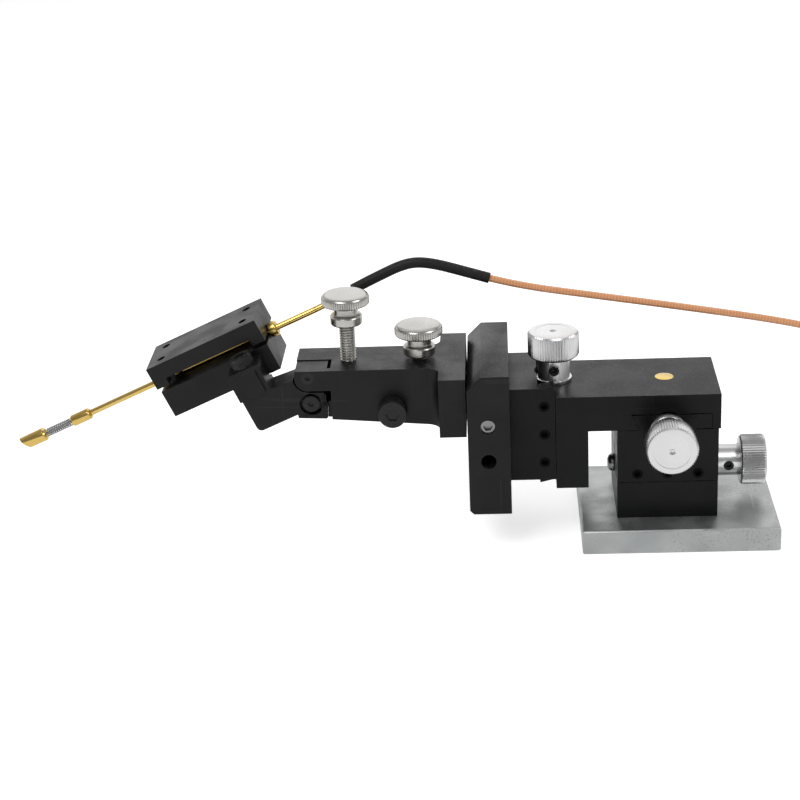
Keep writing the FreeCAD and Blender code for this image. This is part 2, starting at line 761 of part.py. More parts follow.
def plate_screws():
    """The four cap screws that hold the mounting plate on the upright block."""
    seat = "dims.plate_left_x + 3.1"
    length = "dims.plate_thick - 3.1 + 5.3"
    head = ("dims.cap3_head_radius", "dims.cap3_head_height", "2.5")
    screws = [
        cap_screw("1.5", length, *head, (seat, y, z), Y_AXIS, -90)
        for y, z in plate_screw_places()
    ]
    gather("plate_screws", screws)


def arm_lock_screw():
    """The set screw in the mounting plate's front that holds the arm's spigot."""
    length = "dims.plate_half - dims.spigot_radius - 0.7"
    at = ("dims.lock_x", "-dims.spigot_radius", "dims.lock_high_z")
    screw = set_screw("dims.lock_hole_radius", length, "2", at, X_AXIS, 90)
    keep(screw, "arm_lock_screw")


def arm_block():
    """The probe arm: flange and spigot, tapered beam, and the ear that the nose tilts on."""
    arm = Piece("arm_block")
    left, right = "dims.flange_left_x", "dims.flange_right_x"
    flange = box_outline(left, right, "-dims.flange_half", "dims.flange_half")
    arm.pad("Z", "dims.arm_bottom", "dims.arm_top", flange)
    beam = [
        (f"{left} + 1", "dims.arm_bottom"),
        (f"{left} + 1", "dims.arm_top"),
        ("dims.beam_left_x", "dims.arm_top"),
        ("dims.beam_left_x", "dims.arm_top - dims.beam_end_height"),
        (left, "dims.arm_bottom"),
    ]
    arm.pad("Y", "-dims.beam_half", "dims.beam_half", beam)
    for side in (-1, 1):
        inner = along(Z_AXIS, (SIZE["flange_left_x"], side * SIZE["beam_half"], None), 10)
        arm.soften("Fillet", "dims.beam_fillet", inner)
    arm.pad("X", right, f"{right} + dims.arm_gap + dims.spigot_length",
            circle("0", "dims.lock_high_z", "dims.spigot_radius"))
    ear_foot = "dims.pivot_z - dims.ear_radius"
    front, back = "-dims.beam_half", "-dims.beam_half + dims.nose_thick + 0.1"
    below = "dims.arm_bottom - 1"
    arm.cut("Y", "-dims.beam_half + dims.ear_thick", back,
            box_outline("dims.beam_left_x - 1", "dims.rebate_right_x", below, "dims.arm_top + 1"))
    arm.cut("Y", front, "-dims.beam_half + dims.ear_thick",
            box_outline("dims.beam_left_x - 1", "dims.rebate_right_x", below, ear_foot))
    corner = along(Y_AXIS, (SIZE["beam_left_x"], None, SIZE["pivot_z"] - SIZE["ear_radius"]))
    arm.soften("Fillet", "dims.ear_radius - 0.25", corner)
    pivot = circle("dims.pivot_x", "dims.pivot_z", "dims.m2_radius")
    arm.cut("Y", front, "dims.beam_half - 2", pivot)
    head = circle("dims.pivot_x", "dims.pivot_z", "dims.m2_head_radius")
    arm.cut("Y", front, f"{front} + dims.m2_head_height", head)
    arm.cut("Y", f"{back} - 0.1", "dims.beam_half - 2", circle(*lock_place(), "dims.m2_radius"))
    thumbs = [circle(x, "0", "2.05") for x in ("dims.thumb_front_x", "dims.thumb_back_x")]
    arm.cut("Z", "dims.arm_bottom", "dims.arm_top", *thumbs)
    arm.cut("Y", front, f"{front} + 10", circle("dims.side_screw_x", "dims.side_screw_z", "2"))


def lock_place():
    """Where the tilt lock screw stands, as (x, z)."""
    return ("dims.pivot_x + 0.45", "dims.pivot_z - dims.lock_arm")


def arm_screws():
    """The side cap screw, the tilt pivot screw and the tilt lock screw."""
    front = "-dims.beam_half"
    side_at = ("dims.side_screw_x", front, "dims.side_screw_z")
    side = cap_screw("2", "9.5", "3.5", "4", "3", side_at, X_AXIS, 90)
    keep(side, "side_cap_screw")
    pivot_seat = f"{front} + dims.m2_head_height"
    length = "2 * dims.beam_half - 2 - dims.m2_head_height - 0.2"
    pivot = cap_screw("dims.m2_radius", length, "dims.m2_head_radius", "dims.m2_head_height", "1.3",
                      ("dims.pivot_x", pivot_seat, "dims.pivot_z"), X_AXIS, 90)
    keep(pivot, "tilt_pivot_screw")
    lock_x, lock_z = lock_place()
    lock = cap_screw("dims.m2_radius", f"{length} - 0.2", "dims.lock_head_radius", "dims.m2_head_height",
                     "1.5", (lock_x, f"{pivot_seat} + 0.2", lock_z), X_AXIS, 90)
    keep(lock, "tilt_lock_screw")


def thumb_screw(label, x, foot, length):
    """A high knurled thumb screw: grip rim, neck, collar and threaded shank."""
    screw = Piece(label)
    screw.spin([
        ("0", f"-({length})"),
        ("1.6", f"-({length})"),
        ("2", f"-({length}) + 0.4"),
        ("2", "0"),
        ("3.9", "0"),
        ("4", "0.2"),
        ("4", "4.8"),
        ("3.4", "5.1"),
        ("3.4", "5.3"),
        ("5.6", "5.3"),
        ("6", "5.6"),
        ("6", "7.6"),
        ("5.6", "8"),
        ("0", "8"),
    ])
    screw.place((x, "0", foot))


def thumb_screws():
    """The two thumb screws on top of the arm."""
    thumb_screw("front_thumb_screw", "dims.thumb_front_x", "dims.arm_top + dims.thumb_front_lift", "20")
    thumb_screw("back_thumb_screw", "dims.thumb_back_x", "dims.arm_top + 0.1", "12")


NOSE_AT = ("dims.pivot_x", "0", "dims.pivot_z")


def on_nose(piece):
    """Put a piece that is drawn in the nose's own level frame at the pivot, tilted."""
    piece.place(NOSE_AT, Y_AXIS, "-dims.tilt")


def levelled(a, b):
    """A point that is level with the arm, in the nose's tilted frame."""
    return (
        f"({a}) * cos(dims.tilt) + ({b}) * sin(dims.tilt)",
        f"({b}) * cos(dims.tilt) - ({a}) * sin(dims.tilt)",
    )


def nose_bracket():
    """The tilting bracket: tongue behind the arm's ear, sloping bar and the lug for the head."""
    nose = Piece("nose_bracket")
    bar = [
        ("-dims.nose_end", "-dims.nose_low"),
        ("-6.8", "-dims.nose_low"),
        ("-3", "-9.3"),
        ("1.2", "-8.5"),
        ("2.6", "-2"),
        ("1.5", "1"),
        ("-3", "1"),
        ("-dims.lug_right", "1.5"),
        ("-dims.lug_right", "dims.lug_top"),
        ("-dims.nose_end", "dims.lug_top"),
    ]
    front = "-dims.beam_half"
    back = "-dims.beam_half + dims.nose_thick"
    nose.pad("Y", front, back, bar)
    lug = box_outline("-dims.nose_end - 0.4", "-dims.lug_right - 1.2", "1.4", "dims.lug_top")
    nose.pad("Y", f"{front} - dims.lug_proud", f"{front} + 1", lug)
    behind_lug = box_outline("-dims.nose_end - 1", "-dims.clamp_near + 0.6", "2.5", "9")
    nose.cut("Y", "dims.lug_back_y", back, behind_lug)
    recess = [levelled(a, b) for a, b in (
        ("0", "-dims.ear_radius - dims.swing_play"),
        ("9", "-dims.ear_radius - dims.swing_play"),
        ("9", "6"),
        ("-dims.ear_radius - dims.ear_play", "6"),
        ("-dims.ear_radius - dims.ear_play", "0"),
    )]
    depth = f"{front} + dims.ear_thick + dims.ear_play"
    nose.cut("Y", front, depth, recess)
    nose.cut("Y", front, depth, circle("0", "0", "dims.ear_radius + dims.ear_play + 0.2"))
    nose.cut("Y", front, back, circle("0", "0", "dims.m2_radius + 0.06"))
    lock = levelled("0.45", "-dims.lock_arm")
    nose.cut("Y", front, back, circle(*lock, "dims.m2_radius + 0.7"))
    lock_head = circle(*lock, "dims.lock_head_radius + 0.75")
    nose.cut("Y", front, f"{front} + dims.m2_head_height + 0.2", lock_head)
    screw = circle("-13.4", "(dims.lug_back_y - dims.beam_half - dims.lug_proud) / 2", "1.5")
    nose.cut("Z", "0", "dims.lug_top", screw)
    corner = along(Y_AXIS, (-SIZE["nose_end"], None, -SIZE["nose_low"]), 2)
    nose.soften("Fillet", "1.4", corner)
    on_nose(nose)


def low_clamp():
    """The lower clamp plate with its front ear over the nose's lug."""
    plate = Piece("lower_clamp_plate")
    near, far = "-dims.clamp_near", "-dims.clamp_far + 0.6"
    low, high = "dims.low_clamp_bottom", "dims.low_clamp_top"
    front, back = "dims.clamp_front_y", "dims.clamp_back_y"
    plate.pad("Z", low, high, box_outline(far, near, front, back))
    ear_front = "-dims.beam_half - dims.lug_proud"
    ear = box_outline("-dims.nose_end - 0.2", "-dims.lug_right + 0.6", ear_front, f"{front} + 1")
    plate.pad("Z", "dims.lug_top", "dims.lug_top + 1.1", ear)
    groove = circle("dims.needle_y", "dims.needle_w", "dims.tube_radius")
    plate.cut("X", far, near, groove)
    middle = f"({ear_front} + dims.lug_back_y) / 2"
    plate.cut("Z", "dims.lug_top", "dims.lug_top + 1.1", circle("-13.4", middle, "1.6"))
    holes = [circle(x, y, "1") for x, y in clamp_hole_places()]
    plate.cut("Z", f"{high} - 5", high, *holes)
    on_nose(plate)


def high_clamp():
    """The upper clamp plate, relieved underneath between its two end pads."""
    plate = Piece("upper_clamp_plate")
    near, far = "-dims.clamp_near", "-dims.clamp_far"
    low, high = "dims.high_clamp_bottom", "dims.high_clamp_top"
    plate.pad("Z", low, high, box_outline(far, near, "dims.clamp_front_y", "dims.clamp_back_y"))
    ceiling = f"{low} + dims.clamp_window"
    window = box_outline(f"{far} + dims.clamp_pad", f"{near} - dims.clamp_pad", low, ceiling)
    plate.cut("Y", "dims.clamp_front_y", "dims.clamp_back_y", window)
    plate.cut("X", far, near, circle("dims.needle_y", "dims.needle_w", "dims.tube_radius"))
    holes = [circle(x, y, "dims.clamp_hole_radius") for x, y in clamp_hole_places()]
    plate.cut("Z", low, high, *holes)
    on_nose(plate)


def clamp_hole_places():
    """Where the four clamp screws stand, as (x, y) in the nose's frame."""
    return [
        (x, f"dims.needle_y + {side} * dims.clamp_hole_y")
        for x in ("-dims.clamp_near - dims.clamp_hole_inset", "-dims.clamp_far + dims.clamp_hole_inset")
        for side in (-1, 1)
    ]


def head_screws():
    """The four sunk clamp screws and the cap screw on the lug, all square to the clamp plates."""
    screws = []
    for x, y in clamp_hole_places():
        foot = (x, y, "dims.low_clamp_top - 4.6")
        screws.append(set_screw("1", "4.6 + dims.clamp_gap + 3", "1", foot, Z_AXIS, 0))
    group = gather("clamp_screws", screws)
    middle = "(-dims.beam_half - dims.lug_proud + dims.lug_back_y) / 2"
    head = cap_screw("1.5", "8", "dims.cap3_head_radius", "dims.cap3_head_height", "2.5",
                     ("-13.4", middle, "dims.lug_top + 1.1"), Z_AXIS, 0)
    keep(head, "head_cap_screw")
    for item in (group, head):
        item.Placement = Placement(Vector(), Rotation(Y_AXIS, -SIZE["tilt"]))
        item.setExpression("Placement.Rotation.Angle", "-dims.tilt")
        put(item, NOSE_AT)


def needle_place(piece, station):
    """Put a turned piece on the needle's axis, its Z axis towards the tip."""
    side, rise = levelled_back(f"-({station})", "dims.needle_w")
    at = (f"dims.pivot_x + {side}", "dims.needle_y", f"dims.pivot_z + {rise}")
    piece.place(at, Y_AXIS, "-90 - dims.tilt")


def levelled_back(a, b):
    """A point of the nose's tilted frame, as an offset in the level frame."""
    return (
        f"(({a}) * cos(dims.tilt) - ({b}) * sin(dims.tilt))",
        f"(({a}) * sin(dims.tilt) + ({b}) * cos(dims.tilt))",
    )


def pipe(label, station, length, outer, inner=None):
    """A round piece on the needle's axis, with or without a bore."""
    piece = Piece(label)
    rings = [circle("0", "0", outer)]
    if inner:
        rings.append(circle("0", "0", inner))
    piece.pad("Z", "0", length, *rings)
    needle_place(piece, station)
    return piece


def needle():
    """The coaxial needle: outer tube, clamp ring, inner tube, stop collar and sprung tip."""
    tube_length = "dims.tube_back + dims.tube_end"
    pipe("needle_tube", "-dims.tube_back", tube_length, "dims.tube_radius", "dims.inner_radius")
    ring = pipe("needle_ring", "dims.clamp_near - dims.flange_ring_length - 0.1", "dims.flange_ring_length",
                "dims.flange_ring_radius", "dims.tube_radius")
    ring.soften("Chamfer", "0.3", lambda edge: edge.Length > 10 and len(edge.Vertexes) == 1)
    core_length = "dims.tip_end - dims.tip_cut - 0.3 - dims.core_start"
    pipe("needle_core", "dims.core_start", core_length, "dims.core_radius")
    stop = Piece("stop_collar")
    stop.spin([
        ("dims.inner_radius", "-dims.stop_length * 0.25"),
        ("dims.stop_radius - 0.3", "-dims.stop_length * 0.25"),
        ("dims.stop_radius", "-dims.stop_length * 0.25 + 0.3"),
        ("dims.stop_radius", "dims.stop_length - 0.3"),
        ("dims.stop_radius - 0.3", "dims.stop_length"),
        ("dims.inner_radius", "dims.stop_length"),
    ])
    bore = circle("0", "0", "dims.tube_radius")
    stop.cut("Z", "-dims.stop_length * 0.25", "dims.tube_end - dims.stop_start + 0.01", bore)
    needle_place(stop, "dims.stop_start")
    tip = Piece("needle_tip")
    tip.spin([
        ("dims.core_radius", "0"),
        ("dims.tip_radius - 0.4", "0"),
        ("dims.tip_radius", "0.4"),
        ("dims.tip_radius", "dims.tip_length"),
        ("dims.core_radius", "dims.tip_length"),
    ])
    slant = [
        ("-dims.tip_radius - 0.1", "dims.tip_length - dims.tip_cut"),
        ("dims.tip_radius + 0.1", "dims.tip_length + 0.01"),
        ("-dims.tip_radius - 0.1", "dims.tip_length + 0.01"),
    ]
    tip.cut("Y", "-dims.tip_radius - 0.1", "dims.tip_radius + 0.1", slant)
    needle_place(tip, "dims.tip_start")


def biarc(start, start_way, end, end_way):
    """Two arcs that leave a point one way and reach another point another way."""
    chord = end - start
    both = start_way + end_way
    spread = 2 * (1 - start_way.dot(end_way))
    reach = (-chord.dot(both) + math.sqrt(chord.dot(both) ** 2 + spread * chord.dot(chord))) / spread
    joint = (start + start_way * reach + end - end_way * reach) * 0.5
    return [single_arc(start, start_way, joint), single_arc(end, -end_way, joint)]


def single_arc(start, way, end):
    """The arc that leaves a point along a direction and passes through another point."""
    chord = end - start
    unit = Vector(chord).normalize()
    normal = way - unit * way.dot(unit)
    half = math.acos(max(-1.0, min(1.0, way.dot(unit))))
    rise = chord.Length / 2 * math.tan(half / 2)
    middle = start + chord * 0.5 + normal.normalize() * rise
    return Part.Arc(start, middle, end).toShape()


def wound_path(curve, start, end, pieces):
    """A chain of biarcs along a curve that is given as a function of its parameter."""
    nudge = 1e-4
    edges = []
    stations = [start + (end - start) * n / pieces for n in range(pieces + 1)]
    points = [curve(t) for t in stations]
    ways = [(curve(t + nudge) - curve(t - nudge)).normalize() for t in stations]
    for n in range(pieces):
        edges += biarc(points[n], ways[n], points[n + 1], ways[n + 1])
    return edges, points, ways


def swept(edges, start, way, radius):
    """A round tube along a chain of edges."""
    path = Part.Wire(Part.sortEdges(edges)[0])
    ring = Part.Wire([Part.Circle(start, way, radius).toShape()])
    return path.makePipeShell([ring], True, False), path.Length


def least_gap(curve, start, end, per_turn_step, thickness):
    """The least clear gap between turns, measured on points along the curve."""
    count = int((end - start) / per_turn_step)
    points = [curve(start + per_turn_step * n) for n in range(count + 1)]
    apart = int(2 / 3 * math.pi / per_turn_step) + 1
    least = 1e9
    for n, point in enumerate(points):
        for other in points[n + apart:]:
            least = min(least, point.distanceToPoint(other))
    return least - thickness


def tip_spring():
    """The spring between the stop collar and the sprung tip, as one unbroken wire."""
    radius, wire = SIZE["spring_radius"], SIZE["spring_wire"]
    pitch, turns = SIZE["spring_pitch"], SIZE["spring_turns"]

    def helix(turn):
        return Vector(radius * math.cos(turn), radius * math.sin(turn), pitch * turn / (2 * math.pi))

    end = 2 * math.pi * turns
    edges, points, ways = wound_path(helix, 0.0, end, int(4 * turns))
    shape, length = swept(edges, points[0], ways[0], wire)
    report_tube("tip_spring", shape, length, wire)
    print("tip_spring least gap", round(least_gap(helix, 0.0, end, math.pi / 12, 2 * wire), 3))
    spring = DOC.addObject("Part::Feature", "tip_spring")
    spring.Shape = shape
    tilt = math.radians(SIZE["tilt"])
    along_axis = SIZE["spring_start"] + wire + 0.05
    x = -along_axis * math.cos(tilt) - SIZE["needle_w"] * math.sin(tilt)
    z = -along_axis * math.sin(tilt) + SIZE["needle_w"] * math.cos(tilt)
    at = Vector(SIZE["pivot_x"] + x, SIZE["needle_y"], SIZE["pivot_z"] + z)
    spring.Placement = Placement(at, Rotation(Y_AXIS, -90 - SIZE["tilt"]))
    keep(spring, "tip_spring")


def report_tube(label, shape, length, radius):
    """Print a tube's volume beside its section times its length, and fail if they differ."""
    want = math.pi * radius ** 2 * length
    print(f"{label} length {length:.1f} volume {shape.Volume:.2f} expected {want:.2f}")
    if not shape.isValid() or abs(shape.Volume - want) > 0.02 * want:
        raise RuntimeError(f"{label}: the tube is not sound")


def routed_tube(label, route, radius):
    """A tube along straight runs that are joined by tangent arcs as large as the runs allow."""
    edges = []
    here = route[0]
    for before, corner, after in zip(route, route[1:], route[2:]):
        run_in, run_out = corner - before, after - corner
        way_in, way_out = Vector(run_in).normalize(), Vector(run_out).normalize()
        half = math.acos(max(-1.0, min(1.0, way_in.dot(way_out)))) / 2
        setback = 0.45 * min(run_in.Length, run_out.Length)
        bend = setback / math.tan(half)
        print(f"{label} bend radius {bend:.1f} at {tuple(round(v, 1) for v in corner)}")
        first, last = corner - way_in * setback, corner + way_out * setback
        edges.append(Part.LineSegment(here, first).toShape())
        edges.append(single_arc(first, way_in, last))
        here = last
    edges.append(Part.LineSegment(here, route[-1]).toShape())
    shape, length = swept(edges, route[0], (route[1] - route[0]).normalize(), radius)
    report_tube(label, shape, length, radius)
    tube = DOC.addObject("Part::Feature", label)
    tube.Shape = shape
    keep(tube, label)


SLEEVE_ROUTE = [
    (-79.6, 8.3, 61.0),
    (-74.8, 8.9, 63.2),
    (-69.6, 9.0, 65.7),
    (-65.2, 9.0, 67.7),
    (-61.2, 9.0, 68.5),
    (-56.2, 8.8, 67.8),
    (-49.6, 8.4, 65.9),
    (-43.1, 8.0, 64.0),
]
CABLE_ROUTE = [
    (-43.1, 8.0, 64.0),
    (-35.4, 8.0, 62.0),
    (-20.5, 8.1, 59.7),
    (5.0, 8.3, 55.4),
    (33.0, 8.6, 50.3),
    (48.0, 7.6, 45.6),
    (58.5, 3.4, 37.0),
    (65.0, -2.4, 26.0),
    (67.8, -6.8, 14.6),
    (68.3, -4.6, 5.2),
]


def sleeve():
    """The heat-shrunk sleeve over the joint of needle tube and cable."""
    back, rise = -SIZE["tube_back"], SIZE["needle_w"]
    tilt = math.radians(SIZE["tilt"])
    x = SIZE["pivot_x"] - back * math.cos(tilt) - rise * math.sin(tilt)
    z = SIZE["pivot_z"] - back * math.sin(tilt) + rise * math.cos(tilt)
    start = Vector(x, SIZE["needle_y"], z)
    first_bend = start + Vector(math.cos(tilt), 0, math.sin(tilt)) * 3.4
    route = [start, first_bend] + [Vector(*point) for point in SLEEVE_ROUTE]
    routed_tube("heat_shrink_sleeve", route, SIZE["sleeve_radius"])


def cable_run():
    """The cable's free stretch, from just clear of the sleeve's end down to the surface below."""
    floor = SIZE["cable_floor"]
    start_x, middle_y = SIZE["coil_start_x"], SIZE["coil_middle_y"]
    landing = [Vector(start_x, middle_y - 7.6, floor), Vector(start_x, middle_y, floor)]
    route = [Vector(*point) for point in CABLE_ROUTE] + landing
    route[0] += (route[1] - route[0]).normalize() * SIZE["sleeve_end_gap"]
    routed_tube("cable_run", route, SIZE["cable_radius"])


def smooth(share):
    """A step from 0 to 1 that starts and ends level."""
    share = max(0.0, min(1.0, share))
    return share * share * (3 - 2 * share)


def coil_curve(turn):
    """The coil's centre line: a spiral inward, a climb and a spiral outward above it."""
    inward = 2 * math.pi * SIZE["coil_turns_in"]
    back = inward + math.pi
    rate = SIZE["coil_step"] / (2 * math.pi)
    if turn < inward:
        radius = SIZE["coil_outer"] - rate * turn
    elif turn < back:
        radius = SIZE["coil_inner"]
    else:
        radius = SIZE["coil_inner"] + rate * (turn - back)
    high = SIZE["cable_floor"] + SIZE["coil_step"]
    z = SIZE["cable_floor"] + SIZE["coil_step"] * smooth((turn - inward) / math.pi)
    quarter = math.pi / 2
    z += (SIZE["plug_axis_z"] - high) * smooth((turn - (back + inward - quarter)) / quarter)
    x = SIZE["coil_middle_x"] + radius * math.cos(turn)
    y = SIZE["coil_middle_y"] + radius * math.sin(turn)
    return Vector(x, y, z)


def cable_coil():
    """The put-away length as a neat round coil of two layers, one unbroken tube."""
    end = 2 * math.pi * (2 * SIZE["coil_turns_in"] + 0.5)
    edges, points, ways = wound_path(coil_curve, 0.0, end, round(end / (math.pi / 2)))
    tail = Vector(points[-1])
    tail.y += SIZE["plug_tail"]
    edges.append(Part.LineSegment(points[-1], tail).toShape())
    shape, length = swept(edges, points[0], ways[0], SIZE["cable_radius"])
    report_tube("cable_coil", shape, length, SIZE["cable_radius"])
    gap = least_gap(coil_curve, 0.0, end, math.pi / 48, 2 * SIZE["cable_radius"])
    print("cable_coil least gap", round(gap, 3))
    coil = DOC.addObject("Part::Feature", "cable_coil")
    coil.Shape = shape
    keep(coil, "cable_coil")


def plug():
    """The coaxial plug at the cable's far end: crimped body and hexagonal nut."""
    body = Piece("plug_body")
    body.spin([
        ("0", "0"),
        ("1.9", "0"),
        ("2", "0.2"),
        ("2", "6"),
        ("3.1", "6"),
        ("3.1", "8.4"),
        ("2.3", "8.4"),
        ("2.3", "15.4"),
        ("0.65", "15.4"),
        ("0.45", "17.2"),
        ("0", "17.2"),
    ])
    nut = Piece("plug_nut")
    nut.pad("Z", "8.7", "17", hexagon("0", "0", "8"))
    nut.cut("Z", "8.7", "17", circle("0", "0", "2.35"))
    nut.cut("Z", "13.4", "17", circle("0", "0", "3.2"))
    start = ("dims.coil_start_x", "dims.coil_middle_y + dims.plug_tail", "dims.plug_axis_z")
    body.place(start, X_AXIS, "-90")
    nut.place(start, X_AXIS, "-90")


def check_and_export():
    """Stop on any failed object, then write one file per sub-part."""
    DOC.recompute()
    for item in DOC.Objects:
        if {"Invalid", "Error"} & set(item.State):
            raise RuntimeError(f"{item.Label} failed: {item.State}")
    os.makedirs("parts", exist_ok=True)
    for item in PARTS:
        shape = item.Shape
        if shape.isNull() or not shape.isValid() or not shape.Solids:
            raise RuntimeError(f"{item.Label} has no sound solid")
        shape.exportStep(f"parts/{item.Label}.step")
    print(len(PARTS), "sub-parts")


def main():
    """Build every sub-part and write it."""
    base_plate()
    low_block()
    base_screws()
    middle_block()
    bridge_block()
    upright_block()
    gibs()
    nut_pins()
    feeds()
    gib_screws()
    mounting_plate()
    plate_screws()
    arm_lock_screw()
    arm_block()
    arm_screws()
    thumb_screws()
    nose_bracket()
    low_clamp()
    high_clamp()
    head_screws()
    needle()
    tip_spring()
    sleeve()
    cable_run()
    cable_coil()
    plug()
    check_and_export()


main()
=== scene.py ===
"""Dresses the probe positioner: camera, cable, finishes, knurls, threads and bevelled edges."""

import json
import logging
import math
from dataclasses import dataclass, field
from enum import Enum
from typing import Callable, Iterable, Optional, Sequence

import bmesh
import bpy
from mathutils import Matrix, Vector
from mathutils.kdtree import KDTree


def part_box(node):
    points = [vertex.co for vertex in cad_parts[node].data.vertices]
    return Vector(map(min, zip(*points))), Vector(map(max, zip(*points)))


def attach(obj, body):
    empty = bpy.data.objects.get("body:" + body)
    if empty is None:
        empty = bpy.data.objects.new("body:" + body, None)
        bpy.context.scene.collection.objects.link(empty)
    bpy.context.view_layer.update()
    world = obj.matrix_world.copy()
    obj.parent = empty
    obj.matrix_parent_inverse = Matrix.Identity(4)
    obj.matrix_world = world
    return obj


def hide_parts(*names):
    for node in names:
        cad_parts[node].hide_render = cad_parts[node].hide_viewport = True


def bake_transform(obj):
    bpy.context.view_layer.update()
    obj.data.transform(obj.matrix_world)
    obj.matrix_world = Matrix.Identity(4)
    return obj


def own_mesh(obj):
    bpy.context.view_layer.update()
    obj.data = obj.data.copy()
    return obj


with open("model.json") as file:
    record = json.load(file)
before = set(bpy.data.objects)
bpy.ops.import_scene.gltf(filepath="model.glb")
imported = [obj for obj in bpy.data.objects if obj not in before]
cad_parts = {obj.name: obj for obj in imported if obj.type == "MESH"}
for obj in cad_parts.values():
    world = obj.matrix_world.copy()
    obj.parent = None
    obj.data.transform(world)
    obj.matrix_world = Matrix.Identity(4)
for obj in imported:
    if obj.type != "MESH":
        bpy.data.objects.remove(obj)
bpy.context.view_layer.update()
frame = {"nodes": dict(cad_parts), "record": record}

LOG = logging.getLogger("probe_positioner")
MM = 0.001
MERGE = 1e-7
FLAT_ANGLE = 0.3
Point = tuple[float, float, float]
Colour = tuple[float, float, float]
Outline = Sequence[tuple[float, float]]
Rings = Sequence[tuple[float, float, float]]
Span = tuple[float, float]
Shape = bmesh.types.BMesh
Mesh = bpy.types.Mesh
Piece = bpy.types.Object
Material = bpy.types.Material
Tree = bpy.types.NodeTree
Node = bpy.types.Node
Socket = bpy.types.NodeSocket
FinishOf = Callable[[str], Material]
BODY_OF = {
    node: body
    for body, nodes in frame["record"]["behaviour"]["bodies"].items()
    for node in nodes
}
SLOT_OF = {row["node"]: row["material_slot"] for row in frame["record"]["subparts"]}
FEED_LINES: dict[str, tuple[Point, Point]] = {
    "x": ((12.5, 0.0, 16.2), (1, 0, 0)),
    "y": ((0.0, -12.5, 30.2), (0, -1, 0)),
    "z": ((-27.6, 0.0, 39.5), (0, 0, 1)),
}
NOSE_PIVOT: Point = (-88.8, 0.0, 44.6)
NOSE_ANGLE = 24.0


def metres(points: Iterable[Point]) -> list[Vector]:
    """Turn points in millimetres into vectors in metres."""
    return [Vector(point) * MM for point in points]


class Graph:
    """A small builder for shader node trees."""

    def __init__(self, tree: Tree) -> None:
        """Take the tree that nodes are added to."""
        self.tree = tree

    def add(self, kind: str, inputs: Optional[dict] = None, **settings: object) -> Node:
        """Add a node.

        Args:
            kind: the node's type name, without its first word.
            inputs: socket names or numbers, with a value or a socket to link from.
            **settings: the node's own properties.

        Returns:
            The new node.
        """
        node = self.tree.nodes.new(kind if kind.startswith("NodeGroup") else f"ShaderNode{kind}")
        for name, value in settings.items():
            setattr(node, name, value)
        for name, value in (inputs or {}).items():
            socket = node.inputs[name]
            if isinstance(value, Socket):
                self.tree.links.new(value, socket)
            elif isinstance(value, tuple) and len(value) == 3 and socket.type == "RGBA":
                socket.default_value = (*value, 1.0)
            else:
                socket.default_value = value
        return node

    def place(self) -> Socket:
        """The place on the piece, in metres."""
        return self.add("TexCoord").outputs["Object"]

    def link(self, value: Socket, node: Node, name: str) -> None:
        """Link a value to a node's input."""
        self.tree.links.new(value, node.inputs[name])

    def effect(self, group: Tree, **inputs: float) -> Node:
        """Place a shared node group and return its node."""
        return self.add("Group", inputs, node_tree=group)

    def math(self, operation: str, *values: object, clamp: bool = False) -> Socket:
        """Add a Math node and return its output."""
        inputs = dict(enumerate(values))
        return self.add("Math", inputs, operation=operation, use_clamp=clamp).outputs[0]

    def step(self, value: Socket, low: float, high: float) -> Socket:
        """Map a value smoothly, from 0 at the low mark to 1 at the high one."""
        inputs = {"Value": value, "From Min": low, "From Max": high}
        return self.add("MapRange", inputs, interpolation_type="SMOOTHSTEP").outputs[0]

    def noise(self, vector: Socket, scale: object, detail: float) -> Socket:
        """Add a noise texture and return its value."""
        inputs = {"Vector": vector, "Scale": scale, "Detail": detail}
        return self.add("TexNoise", inputs).outputs["Fac"]

    def mix(self, share: object, first: object, second: object) -> Socket:
        """Mix two colours, given as values or sockets, and return the colour."""
        return self.add("Mix", {0: share, 6: first, 7: second}, data_type="RGBA").outputs[2]

    def measure(self, operation: str, *vectors: object) -> Socket:
        """Add a Vector Math node and return the number it gives."""
        inputs = dict(enumerate(vectors))
        return self.add("VectorMath", inputs, operation=operation).outputs["Value"]

    def bump(self, height: Socket, strength: float, distance: float) -> Socket:
        """Add a Bump node and return its normal."""
        inputs = {"Height": height, "Strength": strength, "Distance": distance}
        return self.add("Bump", inputs).outputs[0]


def new_group(name: str, inputs: dict[str, float], outputs: Sequence[str]) -> tuple:
    """Start a shader node group.

    Args:
        name: the group's name.
        inputs: number inputs and their defaults.
        outputs: the names of number outputs.

    Returns:
        The group, its graph, its input node and its output node.
    """
    group = bpy.data.node_groups.new(name, "ShaderNodeTree")
    for label, default in inputs.items():
        socket = group.interface.new_socket(label, in_out="INPUT", socket_type="NodeSocketFloat")
        socket.default_value = default
    for label in outputs:
        group.interface.new_socket(label, in_out="OUTPUT", socket_type="NodeSocketFloat")
    graph = Graph(group)
    return group, graph, graph.add("NodeGroupInput"), graph.add("NodeGroupOutput")


def new_material(name: str) -> tuple[Material, Graph, Node]:
    """Start a material.

    Args:
        name: the material's name.

    Returns:
        The material, its graph and its shader.
    """
    material = bpy.data.materials.new(name)
    material.use_nodes = True
    tree = material.node_tree
    return material, Graph(tree), tree.nodes["Principled BSDF"]


